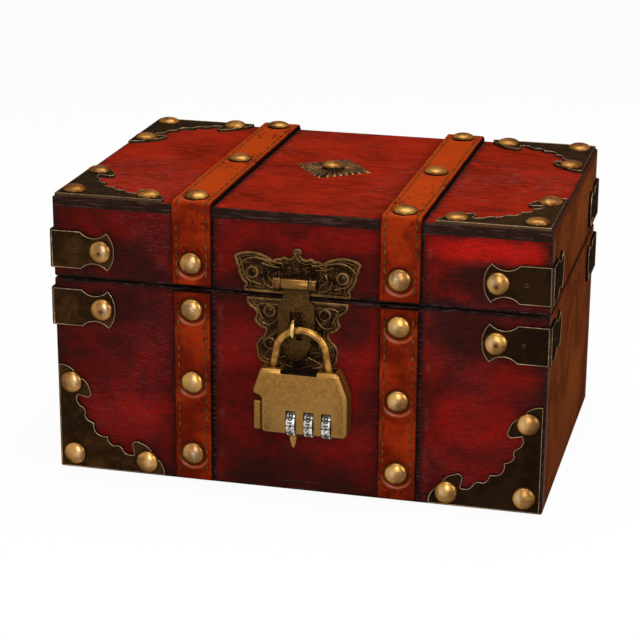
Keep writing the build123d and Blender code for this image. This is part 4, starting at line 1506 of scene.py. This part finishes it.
@dataclass
class BentMetal:
    """A small metal piece that keeps its solid's shape and gets rounded edges and rubbed rims."""

    node: str
    body: Body
    bevel: float = 0.22 * MM
    rub_edges: float = 1.0
    slot: str = "antique_bronze"
    swell: float = 0.0
    # How much darker the piece is towards its bottom.
    patina: float = 0.0
    where: Optional[Callable[[Face], bool]] = None
    polish: Optional[Callable[[Vector], float]] = None
    sharp: float = 50.0
    crease: float = 48.0

    def build(self, *finishes: Material) -> None:
        """Rounds the edges of a copy of the node.

        Args:
            *finishes: its finish, and a second one for the faces that where picks.
        """
        piece = Piece(f"{self.node}_worn", self.node)
        heights = [vert.co.z for vert in piece.bm.verts]
        for vert in piece.bm.verts:
            # Darker towards the bottom.
            vert[piece.grime] = self.patina * (max(heights) - vert.co.z) / (max(heights) - min(heights))
        if self.swell > 0:
            piece.bm.normal_update()
            for vert, way in [(vert, vert.normal.copy()) for vert in piece.bm.verts]:
                vert.co += way * self.swell
        # Painted highlight, where a function gives one.
        if self.polish is not None:
            for vert in piece.bm.verts:
                vert[piece.rub] = self.polish(vert.co)
        keen = piece.keen(self.sharp)
        for edge in keen:
            for vert in edge.verts:
                vert[piece.rub] = self.rub_edges
        piece.round_off(keen, self.bevel)
        if self.where is not None:
            for face in piece.bm.faces:
                face.material_index = int(self.where(face))
        piece.done(self.body, finishes, [self.node], self.crease)


@dataclass
class LatchPlate:
    """One butterfly plate with its veins, its second ridge and, on the lid, the barrel's collars."""

    half: str
    low: float
    lines: tuple[tuple[float, tuple[tuple[float, float], ...]], ...]
    centre: float = 1.0 * MM
    front: float = -75.0 * MM
    floor: float = 0.8 * MM
    rim: float = 1.2 * MM
    vein: float = 0.255 * MM
    ridge_inset: float = 0.95 * MM
    long_loop: float = 60 * MM
    screw_room: float = 3.6 * MM
    collar: float = 0.42 * MM
    collar_places: tuple[float, ...] = (6.9 * MM, 9.2 * MM)
    barrel_y: float = -79.1 * MM
    barrel_z: float = 97.0 * MM
    barrel_radius: float = 2.6 * MM

    def __post_init__(self) -> None:
        """Names the plate's node and what it rides on."""
        self.node = f"latch_{self.half}_plate"
        self.body = Body.LID if self.half == "upper" else Body.BOX

    def screw_heads(self) -> list[Vector]:
        """The middles of the screws on the front.

        Returns:
            One point for each screw.
        """
        screws = Piece("screws", "lid_screws" if self.body is Body.LID else "base_screws")
        heads = [sum((v.co for v in island), Vector()) / len(island) for island in screws.islands()]
        screws.bm.free()
        return [head for head in heads if head.y < 0]

    def plate(self, metal: Material, barrel: Material) -> None:
        """Copies the plate with rounded rims, rubbed where it stands highest, and its knuckles in barrel brass.

        Args:
            metal: the plate's finish.
            barrel: the knuckles' finish.
        """
        piece = Piece(f"{self.node}_pressed", self.node)
        rub, top, heads = piece.rub, self.front - self.rim, self.screw_heads()
        for vert in piece.bm.verts:
            by_screw = min((vert.co.xz - head.xz).length for head in heads) < self.screw_room
            high = abs(vert.co.y - top) < 0.12 * MM or vert.co.y < top - 0.3 * MM
            vert[rub] = (0.45 if by_screw else 0.75) if high else 0.0
            vert[piece.grime] = 0.5 if 0.2 * MM < vert.co.y - top < 0.6 * MM else 0.0
        piece.round_off([edge for edge in piece.keen(40) if all(v.co.y < top + 0.1 * MM for v in edge.verts)],
                        0.16 * MM)
        piece.bm.normal_update()
        # Painted highlight: rims turned up and to the right are made brighter.
        for vert in piece.bm.verts:
            if vert[rub] > 0.3:
                facing = max(0.0, 0.6 * vert.normal.x + 0.8 * vert.normal.z)
                vert[rub] = min(1.0, 0.4 + 0.9 * facing)
        for face in piece.bm.faces:
            if face.calc_center_median().y < top - 0.6 * MM:
                face.material_index = 1
        if self.body is Body.LID:
            self.collars(piece)
        piece.done(self.body, [metal, barrel], [self.node], 40.0)

    def collars(self, piece: Piece) -> None:
        """Turns two fine rings on each outer knuckle of the barrel.

        Args:
            piece: the plate under way.
        """
        for across in (side * place for side in (-1, 1) for place in self.collar_places):
            ring = [Vector((self.centre + across, self.barrel_y + self.barrel_radius * math.cos(math.tau * at / 20),
                            self.barrel_z + self.barrel_radius * math.sin(math.tau * at / 20))) for at in range(20)]
            piece.recolour(piece.bead(ring, self.collar, closed=True))

    def ridge(self, metal: Material) -> None:
        """Raises a second, finer ridge a little inside the plate's rim.

        Args:
            metal: its finish.
        """
        reader = Piece(self.node, self.node)
        level = self.front - self.floor
        ground = [face for face in reader.bm.faces
                  if face.normal.y < -0.99 and abs(face.calc_center_median().y - level) < 0.1 * MM]
        piece = Piece(f"latch_{self.half}_ridge")
        for outline in loops(ground):
            if perimeter(outline) > self.long_loop:
                piece.bead(drawn_in(outline, Vector((0, -1, 0)), self.ridge_inset), self.vein, closed=True, rub=0.8)
        reader.bm.free()
        piece.done(self.body, [metal], (), 60.0)

    def veins(self, metal: Material) -> None:
        """Raises the plate's veins on both wings.

        Args:
            metal: their finish.
        """
        piece = Piece(f"latch_{self.half}_veins")
        for side in (-1, 1):
            for radius, points in self.lines:
                piece.bead([Vector((self.centre + side * across * MM, self.front - self.floor - 0.05 * MM,
                                    self.low + up * MM)) for across, up in points], radius * MM)
        piece.done(self.body, [metal], (), 60.0)

    def build(self, metal: Material, barrel: Material) -> None:
        """Makes the plate with its ridge and veins.

        Args:
            metal: the plate's finish.
            barrel: the knuckles' finish.
        """
        self.plate(metal, barrel)
        self.ridge(metal)
        self.veins(metal)


UPPER_VEINS = (
    (0.42, ((6.5, 13.5), (12, 14.2), (18, 15.6), (23.5, 14.6), (25.5, 11.5))),
    (0.34, ((8.0, 11.6), (12, 11.8), (16, 13.2))),
    (0.34, ((24.0, 9.5), (23.4, 6.6), (20.5, 4.4), (16.4, 3.6))),
    (0.34, ((9.0, 1.9), (12.5, 2.4), (15.0, 4.6), (15.2, 7.2))),
    (0.3, ((10.2, 5.0), (12.6, 6.0), (13.4, 8.4), (12.0, 10.2))),
)
LOWER_VEINS = (
    (0.36, ((8.4, 30.4), (13, 30.6), (18.4, 30.2), (17.2, 26.6), (15.2, 23.6))),
    (0.32, ((8.2, 26.4), (9.6, 22.6), (13.2, 20.8), (15.4, 22.2))),
    (0.3, ((8.6, 20.2), (9.4, 17.0), (12.6, 15.8))),
    (0.32, ((6.8, 9.6), (9.2, 10.6), (13.4, 9.6), (14.6, 6.0))),
    (0.3, ((5.0, 7.4), (8.0, 6.4), (11.6, 4.4), (12.4, 2.6))),
)


@dataclass
class NumberDial:
    """One of the padlock's three dials with its figures."""

    body: Body
    shown: int = 7
    radius: float = 6.2 * MM
    bore: float = 2.2 * MM
    figure: float = 4.6 * MM
    groove: float = 0.4 * MM
    groove_width: float = 0.075
    steps: int = 80
    figures: int = 10

    def __post_init__(self) -> None:
        """Measures the dial on its node."""
        self.low, self.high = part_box(self.body.value)
        self.middle = (self.low + self.high) / 2
        self.pitch = math.tau / self.figures

    def profile(self) -> list[tuple[float, float]]:
        """The dial's section, from the bore round its rim and back to the bore.

        Returns:
            Radius and height of each corner.
        """
        half = (self.high.x - self.low.x) / 2
        line = [(self.bore, half), (self.radius - 0.5 * MM, half), (self.radius - 0.12 * MM, half - 0.18 * MM),
                (self.radius, half - 0.45 * MM), (self.radius, half * 0.33)]
        return [(reach, -height) for reach, height in line] + line[::-1] + [(self.bore, -half)]

    def sink(self, co: Vector) -> None:
        """Sinks a point of the rim that lies in the groove between two figures.

        Args:
            co: the point, which is changed.
        """
        reach = co.xy.length
        if reach < self.radius - 0.7 * MM:
            return
        off = self.pitch / 2 - abs((math.atan2(co.y, co.x) / self.pitch + 0.5) % 1.0 - 0.5) * self.pitch
        share = (reach - self.groove * peak(off, 0.0, self.groove_width)) / reach
        co.x *= share
        co.y *= share

    def build(self, metal: Material, ink: Material) -> None:
        """Makes the dial and puts its figures round it.

        Args:
            metal: the dial's finish.
            ink: the figures' finish.
        """
        node = self.body.value
        turn = Matrix(((0, 0, 1, 0), (0, -1, 0, 0), (1, 0, 0, 0), (0, 0, 0, 1)))
        place = Matrix.Translation(self.middle) @ turn
        piece = Piece(f"{node}_wheel")
        for vert in piece.spun(self.profile(), self.steps, place, self.sink):
            depth = self.radius - (place.inverted() @ vert.co).xy.length
            vert[piece.grime] = clamp((depth - 0.1 * MM) / (0.3 * MM))
            vert[piece.rub] = 1.0 - vert[piece.grime]
        piece.done(self.body, [metal], [node], 40.0)
        self.engrave(ink)

    def engrave(self, ink: Material) -> None:
        """Bends the figures round the dial.

        Args:
            ink: the figures' finish.
        """
        piece = Piece(f"{self.body.value}_figures")
        for figure in range(self.figures):
            text = bpy.data.curves.new("figure", "FONT")
            text.body = str(figure)
            text.size = self.figure
            text.align_x = text.align_y = "CENTER"
            text.extrude = 0.06 * MM
            text.offset = 0.11 * MM
            text.resolution_u = 3
            for vert in piece.take(text):
                angle = (figure - self.shown) * self.pitch + vert.co.y / self.radius
                reach = self.radius + 0.01 * MM + vert.co.z
                vert.co = self.middle + Vector((vert.co.x * 0.98, -reach * math.cos(angle), reach * math.sin(angle)))
        piece.done(self.body, [ink], (), 30.0)


@dataclass
class IndexPoint:
    """The pointed index under the first dial, with the little lug that carries it."""

    node: str = "index_point"
    radius: float = 1.8 * MM
    top: float = 28.9 * MM
    tip: float = 22.8 * MM
    rings: int = 12
    lug: float = 0.5 * MM

    def build(self, brass: Material, steel: Material) -> None:
        """Makes the point in brass and its lug in dark metal.

        Args:
            brass: the point's finish.
            steel: the lug's finish.
        """
        low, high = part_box(self.node)
        middle, across = (low.y + high.y) / 2, low.x + self.radius
        piece = Piece("index_point_turned")
        length = self.top - self.tip
        line = [(0.0, 0.0)]
        for share in (at / self.rings for at in range(1, self.rings + 1)):
            line.append((self.radius * min(1.0, share / 0.72) ** 0.62, length * share))
        line += [(self.radius * 0.8, length + 0.2 * MM), (0.0, length + 0.2 * MM)]
        for vert in piece.spun(line, 24, Matrix.Translation(Vector((across, middle, self.tip)))):
            vert[piece.rub] = 0.6
        piece.done(Body.LOCK, [brass], [self.node])
        lug = Piece("index_point_lug")
        lug.bead([Vector((x, middle, z)) for x, z in (
            (across, self.top - 0.1 * MM), (across + 3.0 * MM, self.top),
            (high.x - 0.9 * MM, self.top + 0.6 * MM), (high.x - 0.7 * MM, high.z - 0.3 * MM))], self.lug, rub=0.9)
        lug.done(Body.LOCK, [steel])


@dataclass
class Studio:
    """The pale floor, the soft lamps and the camera."""

    eye: Triple = (217.8 * MM, -912.9 * MM, 369.5 * MM)
    azimuth: float = math.radians(13.87)
    elevation: float = math.radians(18.52)
    roll: float = math.radians(0.38)
    lens: float = 119.07
    target: Triple = (0.0, 0.0, 0.06)
    floor_glow: float = 0.94

    def camera(self) -> None:
        """Places the camera where the photograph was taken from."""
        a, e, r = self.azimuth, self.elevation, self.roll
        ahead = Vector((-math.sin(a) * math.cos(e), math.cos(a) * math.cos(e), -math.sin(e)))
        right = Vector((math.cos(a), math.sin(a), 0.0))
        up = right.cross(ahead)
        right, up = right * math.cos(r) + up * math.sin(r), up * math.cos(r) - right * math.sin(r)
        data = bpy.data.cameras.new("camera")
        data.lens = self.lens
        data.sensor_width = 36
        data.clip_start = 0.01
        made = link("camera", data)
        made.matrix_world = Matrix.Translation(Vector(self.eye)) @ Matrix((right, up, -ahead)).transposed().to_4x4()
        bpy.context.scene.camera = made

    def lamp(self, name: str, place: Triple, size: tuple[float, float], power: float,
             colour: Triple = (1.0, 1.0, 1.0)) -> None:
        """Hangs a soft lamp that looks at the chest.

        Args:
            name: its name.
            place: where it hangs.
            size: its width and height.
            power: its power in watts.
            colour: its light's colour.
        """
        data = bpy.data.lights.new(name, "AREA")
        data.shape = "RECTANGLE"
        data.size, data.size_y = size
        data.energy = power
        data.color = colour
        made = link(name, data)
        made.location = place
        made.rotation_euler = (Vector(self.target) - Vector(place)).to_track_quat("-Z", "Y").to_euler()

    def seen(self, tree: Tree) -> Socket:
        """One for what the camera sees, also in reflections and through glass."""
        rays = tree.node("LightPath").outputs
        return tree.most(rays["Is Camera Ray"], rays["Is Glossy Ray"], rays["Is Transmission Ray"])

    def show(self, tree: Tree, output: str, amount: Value, *shaders: bpy.types.Node) -> None:
        """Mixes two shaders into the tree's output."""
        mixed = tree.node("MixShader", {0: amount, 1: shaders[0].outputs[0], 2: shaders[1].outputs[0]})
        tree.node(output, {"Surface": mixed.outputs[0]})

    def floor(self) -> None:
        """Lays the pale floor, near white to the camera but still taking the chest's shadow."""
        shape = bmesh.new()
        bmesh.ops.create_grid(shape, x_segments=1, y_segments=1, size=3.0)
        mesh = bpy.data.meshes.new("floor")
        shape.to_mesh(mesh)
        shape.free()
        material = bpy.data.materials.new("pale_floor")
        tree = Tree.of(material)
        self.show(tree, "OutputMaterial", tree.times(self.seen(tree), self.floor_glow),
                  tree.node("BsdfDiffuse", {"Color": (0.86, 0.85, 0.83, 1.0)}),
                  tree.node("Emission", {"Color": (1.0, 1.0, 1.0, 1.0), "Strength": 1.0}))
        mesh.materials.append(material)
        made = link("floor", mesh)

    def world(self) -> None:
        """Gives a plain grey light all round, and white to the camera and to reflections."""
        world = bpy.data.worlds.new("studio")
        tree = Tree.of(world)
        self.show(tree, "OutputWorld", self.seen(tree),
                  tree.node("Background", {"Color": (0.80, 0.78, 0.75, 1.0), "Strength": 0.34}),
                  tree.node("Background", {"Color": (1.0, 1.0, 1.0, 1.0), "Strength": 1.0}))
        bpy.context.scene.world = world

    def build(self) -> None:
        """Sets up the whole studio."""
        self.camera()
        self.floor()
        self.world()
        self.lamp("key", (0.14, -0.82, 0.46), (0.3, 0.7), 3.5, (1.0, 0.96, 0.90))
        self.lamp("top", (0.05, 0.10, 1.05), (0.8, 0.8), 8.5)
        self.lamp("side", (1.05, -0.35, 0.55), (0.5, 0.5), 5.0, (1.0, 0.96, 0.92))
        bpy.context.scene.view_settings.view_transform = "Standard"


class TreasureChest:
    """The whole chest: gives every node its finish or a finer piece in its place."""

    barrel_foot = 94.2 * MM
    lock_round = (-87.0 * MM, -85.55 * MM)
    lock_right = 17 * MM
    notch_middle, notch_half, notch_foot = 4.4 * MM, 8.0 * MM, 55 * MM
    notch_depth = (-86.7 * MM, -77 * MM)
    lock_inside = -81.5 * MM

    def __init__(self, nodes: dict[str, bpy.types.Object]) -> None:
        """Keeps the nodes and builds the finishes.

        Args:
            nodes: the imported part's objects, by node name.
        """
        self.nodes = nodes
        self.effects = Effects()
        self.looks = {finish.name: finish.make(self.effects) for finish in FINISHES}
        self.nails = DomeNails()

    def stained(self, name: str, lid: bool, grain: GrainAxis, **options: object) -> Material:
        """Makes the stained wood of a part of the base or the lid.

        Args:
            name: the material's name.
            lid: whether the boards are the lid's.
            grain: which way the grain runs.
            **options: what differs from plain red.

        Returns:
            The finished material.
        """
        low = (-110 * MM, -75 * MM, (90.5 if lid else 0.0) * MM)
        high = (110 * MM, 75 * MM, (127.0 if lid else 90.0) * MM)
        return StainedWood(name, low, high, grain, **options).make(self.effects)

    def dress(self, material: Material, *nodes: str) -> None:
        """Gives nodes that keep their solids their finish.

        Args:
            material: the finish.
            *nodes: the nodes.
        """
        for node in nodes:
            data = self.nodes[node].data
            data.materials.clear()
            data.materials.append(material)
            LOG.info("%s keeps its solid and gets %s", node, material.name)

    def boards(self) -> None:
        """Stains every board."""
        walls = (-1, 1)
        # Dark patches round the brackets, the seam and the latch are partly dark staining and partly painted shadow;
        # below the latch lies the padlock's painted shadow, and low on the front painted shade.
        by_brackets = tuple(Stain((side * 86, wall * 75, height), (34, 30, 15), 0.8)
                            for wall in walls for side in (-1, 1) for height in (102, 79))
        by_seam = tuple(Stain((x, wall * 75, height), (26, 20, reach), 0.8)
                        for wall in walls for x, height, reach in ((-74, 95, 10), (74, 80, 19)))
        by_latch = (Stain((1, -75, 93), (40, 20, 12), 0.75), Stain((24, -75, 78), (14, 20, 18), 0.7),
                    Stain((4, -75, 52), (24, 20, 20), 0.45))
        low_down = (Stain((0, -75, 4), (60, 20, 22), 0.75), Stain((-88, -75, 56), (24, 20, 20), 0.5))
        # Bright patches of painted light, strongest at the lid's right.
        front_light_pools = tuple(Stain((x, wall * 75, z), (28, 20, 15), 0.38)
                            for wall in walls for x, z in ((-78, 26), (82, 40), (28, 62), (-24, 66)))
        lid_light_pools = tuple(Stain((x, wall * 75, 117), (reach, 20, 9), strength)
                          for wall in walls for x, reach, strength in ((84, 40, 0.9), (26, 30, 0.3)))
        # The side boards get browner colours than the front: a painted warm reflection, with painted light towards the
        # top.
        brown = {"bright": "69351a", "middle": "592a13", "dark": "45200e", "shadow": "30160b", "burnt": "2c150b",
                 "scraped": "52301f", "scuff": "6a3a20", "glow": "85451e", "scuffed": 0.2, "straps": False,
                 "edge_width": 7 * MM, "edge_strength": 0.4, "gloss": 0.0}
        self.dress(self.stained("front_wood", False, GrainAxis.ACROSS, glows=front_light_pools, sill=4.2 * MM,
                                stains=by_brackets + by_seam + by_latch + low_down),
                   "base_front_board", "base_back_board", "base_floor")
        self.dress(self.stained("side_wood", False, GrainAxis.DEEP, **brown, glows=tuple(
            Stain((wall * 110, 20, 30), (20, 40, 22), 0.3) for wall in walls)), "base_left_board", "base_right_board")
        self.dress(self.stained("lid_front_wood", True, GrainAxis.ACROSS, glows=lid_light_pools, scuffed=1.0, glow="ba1810",
                                stains=by_brackets + by_seam[:1] + by_latch), "lid_front_board", "lid_back_board")
        self.dress(self.stained("lid_side_wood", True, GrainAxis.DEEP, **brown, glows=tuple(
            Stain((wall * 110, 30, 112), (20, 40, 16), 0.5) for wall in walls)), "lid_left_board", "lid_right_board")
        # The lid's top gets brighter reds than the front: painted light.
        self.dress(self.stained("top_wood", True, GrainAxis.LID_TOP, bright="982210", middle="7c1d0e", dark="50150c",
                                shadow="30100c", scuff="7c403a", black_edge=True, edge_strength=0.5,
                                edge_width=5 * MM, burnt="241713", scraped="4b3433", gloss=0.0, blotchy=0.35),
                   "lid_top_board")

    def trim(self) -> None:
        """Makes the straps, nails, brackets, corner plates and the ornament."""
        looks = self.looks
        for node in ("base_nails", "lid_nails"):
            self.nails.find(node)
            self.nails.build(node, looks["nail_brass"])
        for node in self.nodes:
            if "_strap_" in node:
                Strap(node, self.nails).build(looks["strap_leather"], looks["strap_thread"])
            elif "_bracket_" in node or "_corner_" in node:
                PressedMetal().build(node, looks["antique_bronze"], looks["soot"])
        Sunburst().build(looks["latch_bronze"], looks["nail_brass"])

    def fittings(self) -> None:
        """Makes the latch, the hinges and the screws."""
        looks = self.looks
        for plate in (LatchPlate("upper", 91.15 * MM, UPPER_VEINS), LatchPlate("lower", 55.5 * MM, LOWER_VEINS)):
            plate.build(looks["latch_bronze"], looks["barrel_brass"])
        BentMetal("hasp", Body.HASP, 0.2 * MM, 0.8, where=self.on_barrel).build(
            looks["hasp_bronze"], looks["barrel_brass"])
        BentMetal("latch_staple", Body.BOX, 0.05 * MM, 0.0).build(looks["staple_wire"])
        for half, body in (("upper", Body.LID), ("lower", Body.BOX)):
            for side in ("left", "right"):
                BentMetal(f"hinge_{half}_leaf_{side}", body).build(looks["hasp_bronze"])
        self.dress(looks["dark_steel"], "base_screws", "lid_screws", "hinge_pins", "latch_pin")

    def padlock(self) -> None:
        """Makes the padlock."""
        looks = self.looks
        brass = looks["lock_brass"]
        for node in ("lock_front_shell", "lock_back_shell"):
            # The faces seen through the notch and inside the shells take the dark finish: painted shade.
            BentMetal(node, Body.LOCK, 0.3 * MM, slot="lock_brass", patina=0.32, where=self.in_notch,
                      polish=self.on_round).build(brass, looks["soot"])
        BentMetal("release_lever", Body.LEVER, 0.3 * MM, slot="lock_brass", patina=0.25).build(brass)
        BentMetal("shackle", Body.SHACKLE, 0.05 * MM, 0.2, slot="lock_brass", swell=0.22 * MM).build(
            looks["shackle_brass"])
        IndexPoint().build(brass, looks["dark_steel"])
        self.dress(looks["dark_steel"], "shackle_pivot", "dial_spindle")
        self.dress(looks["notch_steel"], "lock_insert")
        for body in (Body.DIAL_1, Body.DIAL_2, Body.DIAL_3):
            NumberDial(body).build(looks["dial_metal"], looks["figure_ink"])

    def on_barrel(self, face: Face) -> bool:
        """Says whether a face of the hasp is on its knuckle."""
        return face.calc_center_median().z > self.barrel_foot

    def on_round(self, place: Vector) -> float:
        """How bright a painted highlight on the padlock's rounded front edge is at a place, most on the right.

        Args:
            place: the place on the padlock.

        Returns:
            The brightness, from zero to one.
        """
        if not self.lock_round[0] < place.y < self.lock_round[1]:
            return 0.0
        return 1.0 if place.x > self.lock_right else 0.4

    def in_notch(self, face: Face) -> bool:
        """Says whether a face of the padlock is seen only through the notch in its top.

        Args:
            face: the face.

        Returns:
            Whether it is.
        """
        middle = face.calc_center_median()
        inner = face.normal.y < -0.5 and middle.y > self.lock_inside
        return inner or (abs(middle.x - self.notch_middle) < self.notch_half and middle.z > self.notch_foot
                         and self.notch_depth[0] < middle.y < self.notch_depth[1])

    def build(self) -> None:
        """Dresses the whole chest."""
        self.boards()
        self.trim()
        self.fittings()
        self.padlock()


def main() -> None:
    """Loads the frame and builds the studio and the chest."""
    logging.basicConfig(level=logging.INFO, format="%(message)s")
    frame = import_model()
    Studio().build()
    TreasureChest(frame["nodes"]).build()
    bpy.context.view_layer.update()


if __name__ == "__main__":
    main()
